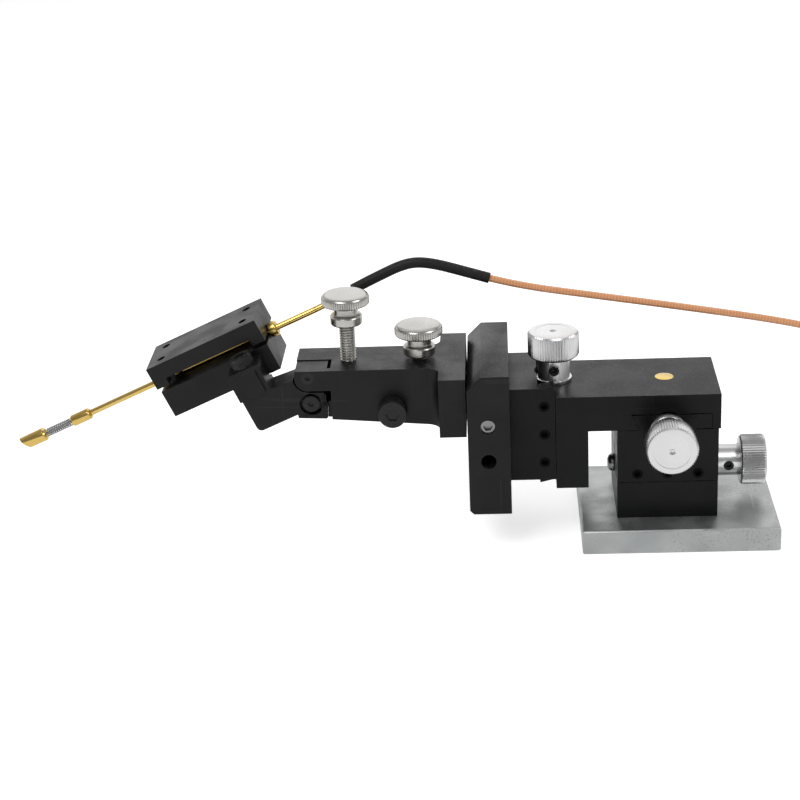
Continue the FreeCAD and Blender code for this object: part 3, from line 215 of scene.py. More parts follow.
class Effects:
    """The node groups that several finishes share."""

    def __init__(self) -> None:
        """Build each group once."""
        self.edge_wear = self._edge_wear()
        self.grain = self._grain()
        self.scratches = self._scratches()
        self.dust = self._dust()
        self.smudge = self._smudge()

    def _edge_wear(self) -> Tree:
        """Where edges are rubbed: a rounded normal set against the true one, broken by noise.

        Returns:
            The group, which gives a mask.
        """
        group, graph, start, end = new_group("edge_wear", {"Radius": 0.0003, "Amount": 0.5}, ["Mask"])
        rounded = graph.add("Bevel", {"Radius": start.outputs["Radius"]}, samples=4).outputs[0]
        true = graph.add("NewGeometry").outputs["Normal"]
        turned = graph.math("SUBTRACT", 1.0, graph.measure("DOT_PRODUCT", rounded, true))
        edge = graph.step(turned, low=0.01, high=0.12)
        broken = graph.step(graph.noise(graph.place(), scale=420.0, detail=6.0), low=0.42, high=0.62)
        rubbed = graph.math("MULTIPLY", edge, broken)
        mask = graph.math("MULTIPLY", rubbed, start.outputs["Amount"], clamp=True)
        graph.link(mask, end, "Mask")
        return group

    def _grain(self) -> Tree:
        """Fine blasted or anodised grain.

        Returns:
            The group, which gives the grain's height and a broad cloud.
        """
        group, graph, start, end = new_group("surface_grain", {"Scale": 6000.0}, ["Height", "Cloud"])
        place = graph.place()
        fine = graph.noise(place, start.outputs["Scale"], detail=3.0)
        graph.link(fine, end, "Height")
        cloud = graph.noise(place, scale=90.0, detail=5.0)
        graph.link(graph.step(cloud, low=0.3, high=0.7), end, "Cloud")
        return group

    def _scratches(self) -> Tree:
        """Sparse hairline marks in two directions.

        Returns:
            The group, which gives a mask.
        """
        group, graph, start, end = new_group("hairlines", {"Scale": 900.0, "Amount": 0.5}, ["Mask"])
        place = graph.place()
        marks = []
        for turn, stretch in ((0.5, (0.03, 1.0, 0.5)), (-0.9, (1.0, 0.04, 0.04))):
            inputs = {"Vector": place, "Rotation": (turn, turn * 0.7, turn * 1.3), "Scale": stretch}
            turned = graph.add("Mapping", inputs).outputs[0]
            lines = graph.noise(turned, start.outputs["Scale"], detail=2.0)
            marks.append(graph.step(lines, low=0.69, high=0.74))
        both = graph.math("MAXIMUM", *marks)
        mask = graph.math("MULTIPLY", both, start.outputs["Amount"], clamp=True)
        graph.link(mask, end, "Mask")
        return group

    def _dust(self) -> Tree:
        """A thin film of dust on faces that look up.

        Returns:
            The group, which gives a mask.
        """
        group, graph, start, end = new_group("dust_film", {"Amount": 0.3}, ["Mask"])
        normal = graph.add("NewGeometry").outputs["Normal"]
        rise = graph.add("SeparateXYZ", {0: normal}).outputs["Z"]
        specks = graph.step(graph.noise(graph.place(), scale=1500.0, detail=6.0), low=0.5, high=0.72)
        film = graph.math("MULTIPLY", graph.step(rise, low=0.35, high=1.0), specks)
        mask = graph.math("MULTIPLY", film, start.outputs["Amount"], clamp=True)
        graph.link(mask, end, "Mask")
        return group

    def _smudge(self) -> Tree:
        """Broad patches where handling changes the gloss.

        Returns:
            The group, which gives a roughness between its two inputs.
        """
        group, graph, start, end = new_group("handling_marks", {"Low": 0.3, "High": 0.4}, ["Gloss"])
        patch = graph.step(graph.noise(graph.place(), scale=140.0, detail=4.0), low=0.35, high=0.65)
        span = graph.math("SUBTRACT", start.outputs["High"], start.outputs["Low"])
        gloss = graph.math("MULTIPLY_ADD", patch, span, start.outputs["Low"])
        graph.link(gloss, end, "Gloss")
        return group


class Tooling(Enum):
    """How a metal's surface was cut: a turned one is named by its axis."""

    BLASTED = "blasted"
    MILLED = "milled"
    TURNED_X = "X"
    TURNED_Y = "Y"
    TURNED_Z = "Z"


@dataclass(frozen=True)
class MetalFinish:
    """A metal's finish, with grain, tool lines, handling marks, hairlines, dust and worn edges."""

    name: str
    colour: Colour
    worn: Colour
    metallic: float = 1.0
    gloss: Span = (0.26, 0.34)
    grain_scale: float = 6000.0
    grain_depth: float = 0.1
    tooling: Tooling = Tooling.BLASTED
    tool_depth: float = 0.0
    centre: Point = (0.0, 0.0, 0.0)
    wear: float = 0.3
    wear_radius: float = 0.00025
    hairlines: float = 0.1
    dust: float = 0.03
    mottle: float = 0.1
    specular: float = 0.5
    stains: float = 0.0
    dust_colour: Colour = (0.36, 0.35, 0.33)
    dust_matt: float = 0.3
    relief: float = 0.00004

    def _tool_lines(self, graph: Graph) -> Optional[Socket]:
        """The height of the tool lines, if there are any.

        Args:
            graph: the material's graph.

        Returns:
            A height socket, or None for a blasted surface.
        """
        if self.tooling is Tooling.BLASTED:
            return None
        shift = tuple(-value * MM for value in self.centre)
        local = graph.add("Mapping", {"Vector": graph.place(), "Location": shift}).outputs[0]
        if self.tooling is Tooling.MILLED:
            stretched = graph.add("Mapping", {"Vector": local, "Scale": (0.02, 1.0, 1.0)}).outputs[0]
            return graph.noise(stretched, scale=5200.0, detail=2.0)
        axis = self.tooling.value
        across = tuple(float(letter != axis) for letter in "XYZ")
        flat = graph.add("VectorMath", {0: local, 1: across}, operation="MULTIPLY").outputs[0]
        along = graph.add("SeparateXYZ", {0: local}).outputs[axis]
        rings = graph.add("CombineXYZ", {0: graph.measure("LENGTH", flat), 1: along}).outputs[0]
        return graph.noise(rings, scale=7000.0, detail=2.0)

    def _stained(self, graph: Graph, clouded: Socket) -> Socket:
        """Speckle a colour with darker stains.

        Args:
            graph: the material's graph.
            clouded: the colour to stain.

        Returns:
            The stained colour.
        """
        place = graph.place()
        patches = graph.step(graph.noise(place, scale=110.0, detail=3.0), low=0.42, high=0.62)
        specks = graph.step(graph.noise(place, scale=1700.0, detail=8.0), low=0.5, high=0.68)
        spots = graph.math("MULTIPLY", patches, specks)
        dark = tuple(channel * 0.4 for channel in self.colour)
        return graph.mix(graph.math("MULTIPLY", spots, self.stains), clouded, dark)

    def build(self, effects: Effects) -> Material:
        """Build the material.

        Args:
            effects: the shared node groups.

        Returns:
            The finished material.
        """
        material, graph, shader = new_material(self.name)
        low, high = self.gloss
        grain = graph.effect(effects.grain, Scale=self.grain_scale).outputs
        wear = graph.effect(effects.edge_wear, Radius=self.wear_radius, Amount=self.wear).outputs[0]
        lines = graph.effect(effects.scratches, Amount=self.hairlines).outputs[0]
        dust = graph.effect(effects.dust, Amount=self.dust).outputs[0]
        gloss = graph.effect(effects.smudge, Low=low, High=high).outputs[0]
        cloud = graph.math("MULTIPLY", grain["Cloud"], self.mottle)
        clouded = graph.mix(cloud, self.colour, self.worn)
        if self.stains:
            clouded = self._stained(graph, clouded)
        rubbed = graph.mix(graph.math("MAXIMUM", wear, lines), clouded, self.worn)
        graph.link(graph.mix(dust, rubbed, self.dust_colour), shader, "Base Color")
        graph.link(graph.math("MULTIPLY_ADD", dust, self.dust_matt, gloss), shader, "Roughness")
        shader.inputs["Metallic"].default_value = self.metallic
        shader.inputs["Specular IOR Level"].default_value = self.specular
        height = graph.math("MULTIPLY", grain["Height"], self.grain_depth)
        cut = self._tool_lines(graph)
        if cut is not None:
            height = graph.math("MULTIPLY_ADD", cut, self.tool_depth, height)
        graph.link(graph.bump(height, strength=1.0, distance=self.relief), shader, "Normal")
        return material


@dataclass(frozen=True)
class SleeveFinish:
    """Heat-shrunk black sleeve: matte, faintly wrinkled and dusty."""

    name: str = "shrunk_sleeve"
    colour: Colour = (0.006, 0.006, 0.006)
    dust_colour: Colour = (0.2, 0.2, 0.19)
    dust: float = 0.25
    grain_scale: float = 2600.0
    rough: float = 0.5
    rough_spread: float = 0.12
    crease: float = 0.6
    grain_depth: float = 0.35
    specular: float = 0.3

    def build(self, effects: Effects) -> Material:
        """Build the material.

        Args:
            effects: the shared node groups.

        Returns:
            The finished material.
        """
        material, graph, shader = new_material(self.name)
        grain = graph.effect(effects.grain, Scale=self.grain_scale).outputs
        dust = graph.effect(effects.dust, Amount=self.dust).outputs[0]
        run = graph.add("Attribute", attribute_name="cord_run").outputs["Vector"]
        along = graph.add("SeparateXYZ", {0: run}).outputs["X"]
        rings = graph.add("CombineXYZ", {0: along}).outputs[0]
        creases = graph.noise(rings, scale=900.0, detail=3.0)
        graph.link(graph.mix(dust, self.colour, self.dust_colour), shader, "Base Color")
        rough = graph.math("MULTIPLY_ADD", grain["Cloud"], self.rough_spread, self.rough)
        graph.link(rough, shader, "Roughness")
        fine = graph.math("MULTIPLY", grain["Height"], self.grain_depth)
        height = graph.math("MULTIPLY_ADD", creases, self.crease, fine)
        graph.link(graph.bump(height, strength=0.8, distance=0.00012), shader, "Normal")
        shader.inputs["Specular IOR Level"].default_value = self.specular
        return material


@dataclass(frozen=True)
class CableFinish:
    """Coaxial cable: a clear copper-brown jacket over a woven screen."""

    name: str = "coaxial_jacket"
    jacket: Colour = (0.68, 0.27, 0.11)
    strand: Colour = (0.84, 0.42, 0.21)
    dust_colour: Colour = (0.6, 0.5, 0.45)
    dust: float = 0.12
    strands: float = 10.0
    lay: float = 0.0016
    gloss: Span = (0.22, 0.36)
    coat: float = 0.5
    coat_rough: float = 0.12

    def build(self, effects: Effects) -> Material:
        """Build the material.

        Args:
            effects: the shared node groups.

        Returns:
            The finished material.
        """
        material, graph, shader = new_material(self.name)
        low, high = self.gloss
        run = graph.add("Attribute", attribute_name="cord_run").outputs["Vector"]
        parts = graph.add("SeparateXYZ", {0: run}).outputs
        angle = graph.math("ARCTAN2", parts["Z"], parts["Y"])
        around = graph.math("MULTIPLY", angle, self.strands)
        length = graph.math("MULTIPLY", parts["X"], 2 * math.pi / self.lay)
        one, two = (
            graph.math("SINE", graph.math(operation, around, length)) for operation in ("ADD", "SUBTRACT")
        )
        weave = graph.step(graph.math("MULTIPLY", one, two), low=-0.6, high=0.6)
        woven = graph.mix(weave, self.jacket, self.strand)
        dust = graph.effect(effects.dust, Amount=self.dust).outputs[0]
        graph.link(graph.mix(dust, woven, self.dust_colour), shader, "Base Color")
        gloss = graph.effect(effects.smudge, Low=low, High=high).outputs[0]
        graph.link(gloss, shader, "Roughness")
        graph.link(graph.bump(weave, strength=0.25, distance=0.00006), shader, "Normal")
        shader.inputs["Coat Weight"].default_value = self.coat
        shader.inputs["Coat Roughness"].default_value = self.coat_rough
        return material


def finished_object(name: str, mesh: Mesh, material: Material, smooth: float = 27.0) -> Piece:
    """Make an object from a finished mesh.

    Args:
        name: the piece's name.
        mesh: its mesh, already in place.
        material: its finish.
        smooth: the greatest angle, in degrees, that is shaded round.

    Returns:
        The object, linked to the scene.
    """
    mesh.materials.clear()
    mesh.materials.append(material)
    if "custom_normal" in mesh.attributes:
        mesh.attributes.remove(mesh.attributes["custom_normal"])
    mesh.shade_smooth()
    mesh.set_sharp_from_angle(angle=math.radians(smooth))
    piece = bpy.data.objects.new(name, mesh)
    bpy.context.scene.collection.objects.link(piece)
    LOG.info("%s is made", name)
    return piece


def dress(node: str, mesh: Mesh, finish: Material, smooth: float, ending: str = "dressed") -> Piece:
    """Make the piece that stands for one CAD node, rides on its body and wears the given finish.

    Args:
        node: the CAD node's name.
        mesh: the piece's mesh, already in place.
        finish: its material.
        smooth: the greatest angle, in degrees, that is shaded round.
        ending: the last word of the piece's name.

    Returns:
        The piece.
    """
    piece = finished_object(f"{node}_{ending}", mesh, finish, smooth)
    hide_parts(node)
    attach(piece, BODY_OF[node])
    return piece


def to_mesh(name: str, shape: Shape) -> Mesh:
    """Write a shape into a new mesh and free it.

    Args:
        name: the mesh's name.
        shape: the shape, which can't be used again.

    Returns:
        The new mesh.
    """
    mesh = bpy.data.meshes.new(name)
    shape.to_mesh(mesh)
    shape.free()
    return mesh


def take_in(shape: Shape, *extras: Shape) -> None:
    """Add whole shapes to a shape and free them.

    Args:
        shape: the shape that grows.
        *extras: the shapes it takes in.
    """
    for extra in extras:
        part = to_mesh("part", extra)
        shape.from_mesh(part)
        bpy.data.meshes.remove(part)


def node_copy(node: str) -> Shape:
    """Copy a CAD node's mesh, merged and with its flat faces whole.

    Args:
        node: the CAD node's name.

    Returns:
        The copy.
    """
    shape = bmesh.new()
    shape.from_mesh(frame["nodes"][node].data)
    bmesh.ops.remove_doubles(shape, verts=shape.verts, dist=MERGE)
    bmesh.ops.dissolve_limit(shape, angle_limit=math.radians(FLAT_ANGLE), verts=shape.verts,
                           edges=shape.edges)
    return shape


def everything(shape: Shape) -> list:
    """A shape's vertices, edges and faces, as the operators take them."""
    return [*shape.verts, *shape.edges, *shape.faces]


def only(kind: type, items: Iterable) -> list:
    """The items of one kind from an operator's mixed list."""
    return [item for item in items if isinstance(item, kind)]


def close_holes(shape: Shape) -> None:
    """Fill every open loop of a shape's edges."""
    bmesh.ops.holes_fill(shape, edges=[edge for edge in shape.edges if edge.is_boundary], sides=0)


def split_faces(shape: Shape) -> None:
    """Cut the faces of more than four sides into triangles."""
    many = [face for face in shape.faces if len(face.verts) > 4]
    bmesh.ops.triangulate(shape, faces=many, ngon_method="BEAUTY")


def break_edges(shape: Shape, width: float, angle: float = 32.0) -> None:
    """Round the edges of a machined shape.

    Args:
        shape: the shape to change.
        width: the round's width in metres.
        angle: the least angle between faces, in degrees, that is rounded.
    """
    limit = math.radians(angle)
    sharp = [
        edge for edge in shape.edges
        if len(edge.link_faces) == 2 and edge.calc_face_angle(0.0) > limit and edge.calc_length() > width
    ]
    bmesh.ops.bevel(
        shape, geom=sharp, offset=width, offset_type="OFFSET", affect="EDGES", segments=2, profile=0.5,
        clamp_overlap=True, material=-1, loop_slide=False,
    )
    split_faces(shape)


def prism(outline: Outline, front: float, back: float, origin: Point) -> Shape:
    """A closed prism along Y.

    Args:
        outline: its corners as (x, z) in millimetres, from the origin.
        front: where it starts along Y.
        back: where it ends.
        origin: the point that the outline is measured from.

    Returns:
        The closed shape, in metres.
    """
    shape = bmesh.new()
    spots = metres((origin[0] + x, front, origin[2] + z) for x, z in outline)
    corners = [bmesh.ops.create_vert(shape, co=spot)["vert"][0] for spot in spots]
    grown = bmesh.ops.extrude_face_region(shape, geom=[shape.faces.new(corners)])["geom"]
    moved = only(bmesh.types.BMVert, grown)
    bmesh.ops.translate(shape, verts=moved, vec=(0, (back - front) * MM, 0))
    bmesh.ops.recalc_face_normals(shape, faces=shape.faces)
    return shape


def ring_stack(rings: Rings, count: int) -> Shape:
    """A closed turned shape whose rings may be toothed.

    Args:
        rings: radius, height and tooth depth of each ring, in millimetres, from the foot up.
        count: vertices in each ring, two to a tooth.

    Returns:
        The closed shape, round its own Z axis, in metres.
    """
    shape = bmesh.new()
    made = bmesh.ops.create_circle(shape, segments=count, radius=rings[0][0] * MM)
    edges = list({edge for vertex in made["verts"] for edge in vertex.link_edges})
    bmesh.ops.contextual_create(shape, geom=edges)
    verts = made["verts"]
    for place, (radius, height, tooth) in enumerate(rings):
        if place:
            grown = bmesh.ops.extrude_edge_only(shape, edges=edges)["geom"]
            verts = only(bmesh.types.BMVert, grown)
            edges = only(bmesh.types.BMEdge, grown)
        for vertex in verts:
            angle = math.atan2(vertex.co.y, vertex.co.x)
            inner = round(angle / (2 * math.pi / count)) % 2
            reach = (radius - inner * tooth) * MM
            vertex.co = (reach * math.cos(angle), reach * math.sin(angle), height * MM)
    bmesh.ops.contextual_create(shape, geom=edges)
    bmesh.ops.recalc_face_normals(shape, faces=shape.faces)
    return shape


def toothed(rings: Rings, tooth: float, teeth: int) -> Shape:
    """A turned shape whose rings give their tooth depth as a share of the deepest."""
    return ring_stack([(radius, high, share * tooth) for radius, high, share in rings], 2 * teeth)


def threaded_rod(radius: float, low: float, high: float, pitch: float, depth: float) -> Shape:
    """A rod with a helical thread, closed at both ends.

    Args:
        radius: the thread's outer radius in millimetres.
        low: the rod's foot.
        high: the rod's top.
        pitch: the thread's pitch.
        depth: the thread's depth.

    Returns:
        The closed shape, round its own Z axis, in metres.
    """
    shape = bmesh.new()
    turns = int((high - low) / pitch)
    crest_from, crest_to = 0.42, 0.58
    outline = ((radius - depth, 0.0), (radius, crest_from), (radius, crest_to))
    spots = [(reach, turn + share) for turn in range(turns) for reach, share in outline]
    spots.append((radius - depth, turns))
    chain = [
        bmesh.ops.create_vert(shape, co=(reach * MM, 0.0, (low + climb * pitch) * MM))["vert"][0]
        for reach, climb in spots
    ]
    for first, second in zip(chain, chain[1:]):
        shape.edges.new((first, second))
    steps = 32
    bmesh.ops.spin(
        shape, geom=everything(shape), cent=(0, 0, 0), axis=(0, 0, 1), dvec=(0, 0, pitch * MM / steps),
        angle=2 * math.pi, steps=steps, use_merge=False,
    )
    bmesh.ops.remove_doubles(shape, verts=shape.verts, dist=MERGE)
    close_holes(shape)
    split_faces(shape)
    bmesh.ops.recalc_face_normals(shape, faces=shape.faces)
    return shape


def joined(name: str, shapes: Sequence[Shape], place: Matrix) -> Mesh:
    """Join closed shapes into one mesh and put it in place.

    Args:
        name: the mesh's name.
        shapes: the shapes, round their own Z axis.
        place: where the mesh goes.

    Returns:
        The mesh.
    """
    whole = bmesh.new()
    take_in(whole, *shapes)
    bmesh.ops.transform(whole, matrix=place, verts=whole.verts)
    return to_mesh(name, whole)


def axis_place(at: Point, towards: Point) -> Matrix:
    """The matrix that puts a piece's own Z axis on a line.

    Args:
        at: the piece's own origin, in millimetres.
        towards: the direction its Z axis takes.

    Returns:
        The matrix, in metres.
    """
    turn = Vector((0, 0, 1)).rotation_difference(Vector(towards)).to_matrix().to_4x4()
    return Matrix.Translation(Vector(at) * MM) @ turn


@dataclass
class Studio:
    """Camera, lights, floor and background."""

    yaw: float = -0.057488379
    pitch: float = 0.394761937
    roll: float = -0.046904256
    eye: Point = (-40.01617, -460.71026, 227.07237)
    focal_pixels: float = 1973.15869
    frame_pixels: float = 800.0
    lamps: Sequence[tuple[Point, float, float]] = (
        ((-260.0, -330.0, 520.0), 320.0, 1.5),
        ((330.0, -180.0, 360.0), 260.0, 0.7),
        ((-60.0, 420.0, 430.0), 620.0, 0.72),
    )
    lamp_target: Point = (-30.0, 0.0, 30.0)
    sky_back: Span = (-0.5, 0.75)
    sky_high: Span = (0.08, 0.34)
    sky_fill: float = 0.2
    sky_low_gain: float = 1.02
    sky_high_gain: float = -0.7
    sky_mirrored: float = 0.1
    floor_half: float = 4000.0
    floor_drop: float = 0.02
    floor_shade: float = 0.86
    floor_seen: float = 0.62
    floor_mirrored: float = 0.35

    def camera(self) -> None:
        """Stand the camera where the photograph was taken from."""
        forward = Vector((math.sin(self.yaw), math.cos(self.yaw), 0.0))
        right = Vector((math.cos(self.yaw), -math.sin(self.yaw), 0.0))
        up = Vector((0.0, 0.0, 1.0))
        down_look = forward * math.cos(self.pitch) - up * math.sin(self.pitch)
        level_up = up * math.cos(self.pitch) + forward * math.sin(self.pitch)
        side = right * math.cos(self.roll) + level_up * math.sin(self.roll)
        top = level_up * math.cos(self.roll) - right * math.sin(self.roll)
        turn = Matrix((side, top, -down_look)).transposed().to_4x4()
        lens = bpy.data.cameras.new("photo_camera")
        lens.sensor_width = 36.0
        lens.lens = self.focal_pixels / self.frame_pixels * lens.sensor_width
        lens.clip_start = 0.01
        camera = bpy.data.objects.new("photo_camera", lens)
        camera.matrix_world = Matrix.Translation(Vector(self.eye) * MM) @ turn
        bpy.context.scene.collection.objects.link(camera)
        bpy.context.scene.camera = camera

    def lights(self) -> None:
        """Hang the soft lamps and aim them at the stages."""
        target = Vector(self.lamp_target) * MM
        for number, (spot, size, power) in enumerate(self.lamps):
            data = bpy.data.lights.new(f"soft_lamp_{number}", "AREA")
            data.shape = "DISK"
            data.size = size * MM
            data.energy = power
            lamp = bpy.data.objects.new(data.name, data)
            place = Vector(spot) * MM
            turn = (target - place).to_track_quat("-Z", "Y").to_matrix().to_4x4()
            lamp.matrix_world = Matrix.Translation(place) @ turn
            bpy.context.scene.collection.objects.link(lamp)

    def world(self) -> None:
        """Show white to the camera, and light the object by a sky that is brightest low at the back."""
        world = bpy.data.worlds.new("studio")
        bpy.context.scene.world = world
        world.use_nodes = True
        graph = Graph(world.node_tree)
        background = world.node_tree.nodes["Background"]
        path = graph.add("LightPath").outputs
        seen = graph.math("MAXIMUM", path["Is Camera Ray"], path["Is Transmission Ray"])
        way = graph.add("TexCoord").outputs["Generated"]
        sides = graph.add("SeparateXYZ", {0: way}).outputs
        back = graph.step(sides["Y"], *self.sky_back)
        high = graph.step(sides["Z"], *self.sky_high)
        share = graph.math("MULTIPLY_ADD", high, self.sky_high_gain, self.sky_low_gain)
        glow = graph.math("MULTIPLY_ADD", back, share, self.sky_fill)
        mirrored = graph.math("MULTIPLY_ADD", path["Is Glossy Ray"], self.sky_mirrored, glow)
        graph.link(graph.math("MAXIMUM", seen, mirrored), background, "Strength")
        background.inputs["Color"].default_value = (1, 1, 1, 1)

    def floor(self) -> None:
        """Lay the pale floor."""
        shape = bmesh.new()
        bmesh.ops.create_grid(shape, x_segments=1, y_segments=1, size=self.floor_half * MM)
        bmesh.ops.translate(shape, verts=shape.verts, vec=(0, 0, -self.floor_drop * MM))
        material, graph, shader = new_material("pale_floor")
        shader.inputs["Base Color"].default_value = (*[self.floor_shade] * 3, 1)
        shader.inputs["Roughness"].default_value = 0.9
        shader.inputs["Specular IOR Level"].default_value = 0.1
        path = graph.add("LightPath").outputs
        mirrored = graph.math("MULTIPLY", path["Is Glossy Ray"], self.floor_mirrored)
        glow = graph.math("MULTIPLY_ADD", path["Is Camera Ray"], self.floor_seen, mirrored)
        graph.link(glow, shader, "Emission Strength")
        shader.inputs["Emission Color"].default_value = (1, 1, 1, 1)
        finished_object("floor", to_mesh("floor", shape), material)

    def build(self) -> None:
        """Set up the whole studio."""
        self.camera()
        self.lights()
        self.world()
        self.floor()
        bpy.context.scene.view_settings.view_transform = "Standard"


@dataclass
class Cable:
    """The coaxial cable, the sleeve over its joint and its put-away coil, which rises to the plug."""

    sleeve_radius: float = 1.35
    cable_radius: float = 0.9
    stub_radius: float = 0.8
    stub_route: Sequence[Point] = (
        (-88.4, 6.4, 56.93),
        (-84.27, 6.4, 58.77),
        (-79.6, 8.3, 60.9),
        (-76.6, 8.6, 62.3),
    )
    sleeve_route: Sequence[Point] = (
        (-77.7, 8.52, 61.8),
        (-74.8, 8.9, 63.2),
        (-69.6, 9.0, 65.7),
        (-65.2, 9.0, 67.7),
        (-61.2, 9.0, 68.5),
        (-56.2, 8.8, 67.8),
        (-49.6, 8.4, 65.9),
        (-43.1, 8.0, 64.0),
    )
    cable_route: Sequence[Point] = (
        (-43.1, 8.0, 64.0),
        (-35.4, 8.0, 61.8),
        (-20.5, 8.1, 59.2),
        (5.0, 8.3, 54.9),
        (33.0, 8.6, 49.8),
        (48.0, 7.6, 45.6),
        (58.5, 3.4, 37.0),
        (65.0, -2.4, 26.0),
        (67.8, -6.8, 14.6),
        (68.3, -4.6, 5.2),
        (67.45, 3.4, 0.92),
    )
    coil_middle: tuple[float, float] = (54.2, 11.0)
    coil_inner: float = 7.4
    coil_step: float = 2.6
    coil_turns_in: float = 2.25
    floor_level: float = 0.92
    turn_points: int = 16
    plug_level: float = 4.4
    plug_tail: float = 4.0
    smooth: float = 60.0
    sleeve: Optional[Piece] = None
    cable: Optional[Piece] = None
    cable_path: Sequence[Vector] = ()

    def _coil_points(self) -> list[Point]:
        """The coil's control points: in, up, and out again on top.

        Returns:
            The points in millimetres.
        """
        inward = 2 * math.pi * self.coil_turns_in
        back = inward + math.pi
        end = 2 * inward + math.pi
        rate = self.coil_step / (2 * math.pi)
        outer = self.coil_inner + rate * inward
        on_top = self.floor_level + self.coil_step
        count = round(end / (2 * math.pi) * self.turn_points)
        stretch = math.cos(math.pi / self.turn_points) ** 0.5
        middle_x, middle_y = self.coil_middle
        points = []
        for place in range(count + 1):
            turn = end * place / count
            wide = (self.coil_inner + rate * max(inward - turn, 0.0, turn - back)) / stretch
            climb = self._eased((turn - inward) / math.pi) * self.coil_step
            rise = self._eased((turn - end) / (math.pi / 2) + 1) * (self.plug_level - on_top)
            x, y = middle_x + wide * math.cos(turn), middle_y + wide * math.sin(turn)
            points.append((x, y, self.floor_level + climb + rise))
        points.append((middle_x + outer, middle_y + self.plug_tail, self.plug_level))
        return points

    @staticmethod
    def _eased(share: float) -> float:
        """A step from 0 to 1 that starts and ends level."""
        share = max(0.0, min(1.0, share))
        return share * share * (3 - 2 * share)

    @staticmethod
    def _curve(name: str, points: Sequence[Vector], radius: float) -> Piece:
        """Lay an open NURBS curve.

        Args:
            name: the curve's name.
            points: its control points in metres.
            radius: its radius in metres, or nothing for a bare line.

        Returns:
            The curve's object, linked to the scene.
        """
        data = bpy.data.curves.new(name, "CURVE")
        data.dimensions = "3D"
        data.resolution_u = 12
        data.bevel_depth = radius
        data.bevel_resolution = 6
        data.use_fill_caps = True
        spline = data.splines.new("NURBS")
        spline.points.add(len(points) - 1)
        for spot, point in zip(spline.points, points):
            spot.co = (*point, 1.0)
        spline.order_u = 3
        spline.use_endpoint_u = True
        piece = bpy.data.objects.new(name, data)
        bpy.context.scene.collection.objects.link(piece)
        return piece

    def _tube(self, name: str, route: Sequence[Point], radius: float) -> tuple[Mesh, list[Vector]]:
        """Make a mesh tube along a route.

        Args:
            name: the mesh's name.
            route: the curve's control points in millimetres.
            radius: the tube's radius in millimetres.

        Returns:
            The mesh with its run attribute, and the points of its centre line in metres.
        """
        meshes = []
        for thick in (0.0, radius * MM):
            curve = self._curve(name, metres(route), thick)
            graph = bpy.context.evaluated_depsgraph_get()
            meshes.append(bpy.data.meshes.new_from_object(curve.evaluated_get(graph)))
            bpy.data.objects.remove(curve)
        line, mesh = meshes
        path = [vertex.co.copy() for vertex in line.vertices]
        bpy.data.meshes.remove(line)
        mesh.name = name
        shape = bmesh.new()
        shape.from_mesh(mesh)
        bmesh.ops.remove_doubles(shape, verts=shape.verts, dist=MERGE)
        bmesh.ops.recalc_face_normals(shape, faces=shape.faces)
        shape.to_mesh(mesh)
        shape.free()
        self._mark_run(mesh, path)
        return mesh, path

    @staticmethod
    def _mark_run(mesh: Mesh, path: Sequence[Vector]) -> None:
        """Write the length along the tube and the way round it on every vertex.

        Args:
            mesh: the tube.
            path: the points of its centre line.
        """
        lengths = [0.0]
        for first, second in zip(path, path[1:]):
            lengths.append(lengths[-1] + (second - first).length)
        tree = KDTree(len(path))
        for place, point in enumerate(path):
            tree.insert(point, place)
        tree.balance()
        run = mesh.attributes.new("cord_run", "FLOAT_VECTOR", "POINT")
        for place, vertex in enumerate(mesh.vertices):
            near, index, _ = tree.find(vertex.co)
            before, after = path[max(index - 1, 0)], path[min(index + 1, len(path) - 1)]
            way = (after - before).normalized()
            out = vertex.co - near
            side = way.cross(Vector((0, 0, 1))).normalized()
            lift = side.cross(way)
            along = lengths[index] + out.dot(way)
            run.data[place].vector = (along, out.dot(side) / MM, out.dot(lift) / MM)

    def stub(self) -> Mesh:
        """The needle tube's end, which bends clear of the front thumb screw into the sleeve."""
        return self._tube("tube_stub", self.stub_route, self.stub_radius)[0]

    def build(self, sleeve_finish: Material, cable_finish: Material) -> None:
        """Make the sleeve and the cable.

        Args:
            sleeve_finish: the sleeve's material.
            cable_finish: the cable's material.
        """
        mesh, path = self._tube("shrunk_sleeve", self.sleeve_route, self.sleeve_radius)
        sleeve = finished_object("shrunk_sleeve", mesh, sleeve_finish, self.smooth)
        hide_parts("heat_shrink_sleeve")
        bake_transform(sleeve)
        route = [*self.cable_route, *self._coil_points()]
        mesh, path = self._tube("coaxial_cable", route, self.cable_radius)
        cable = finished_object("coaxial_cable", mesh, cable_finish, self.smooth)
        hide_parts("cable_run", "cable_coil")
        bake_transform(cable)
        LOG.info("cable length %.4f m", sum((b - a).length for a, b in zip(path, path[1:])))
        self.sleeve, self.cable, self.cable_path = sleeve, cable, path


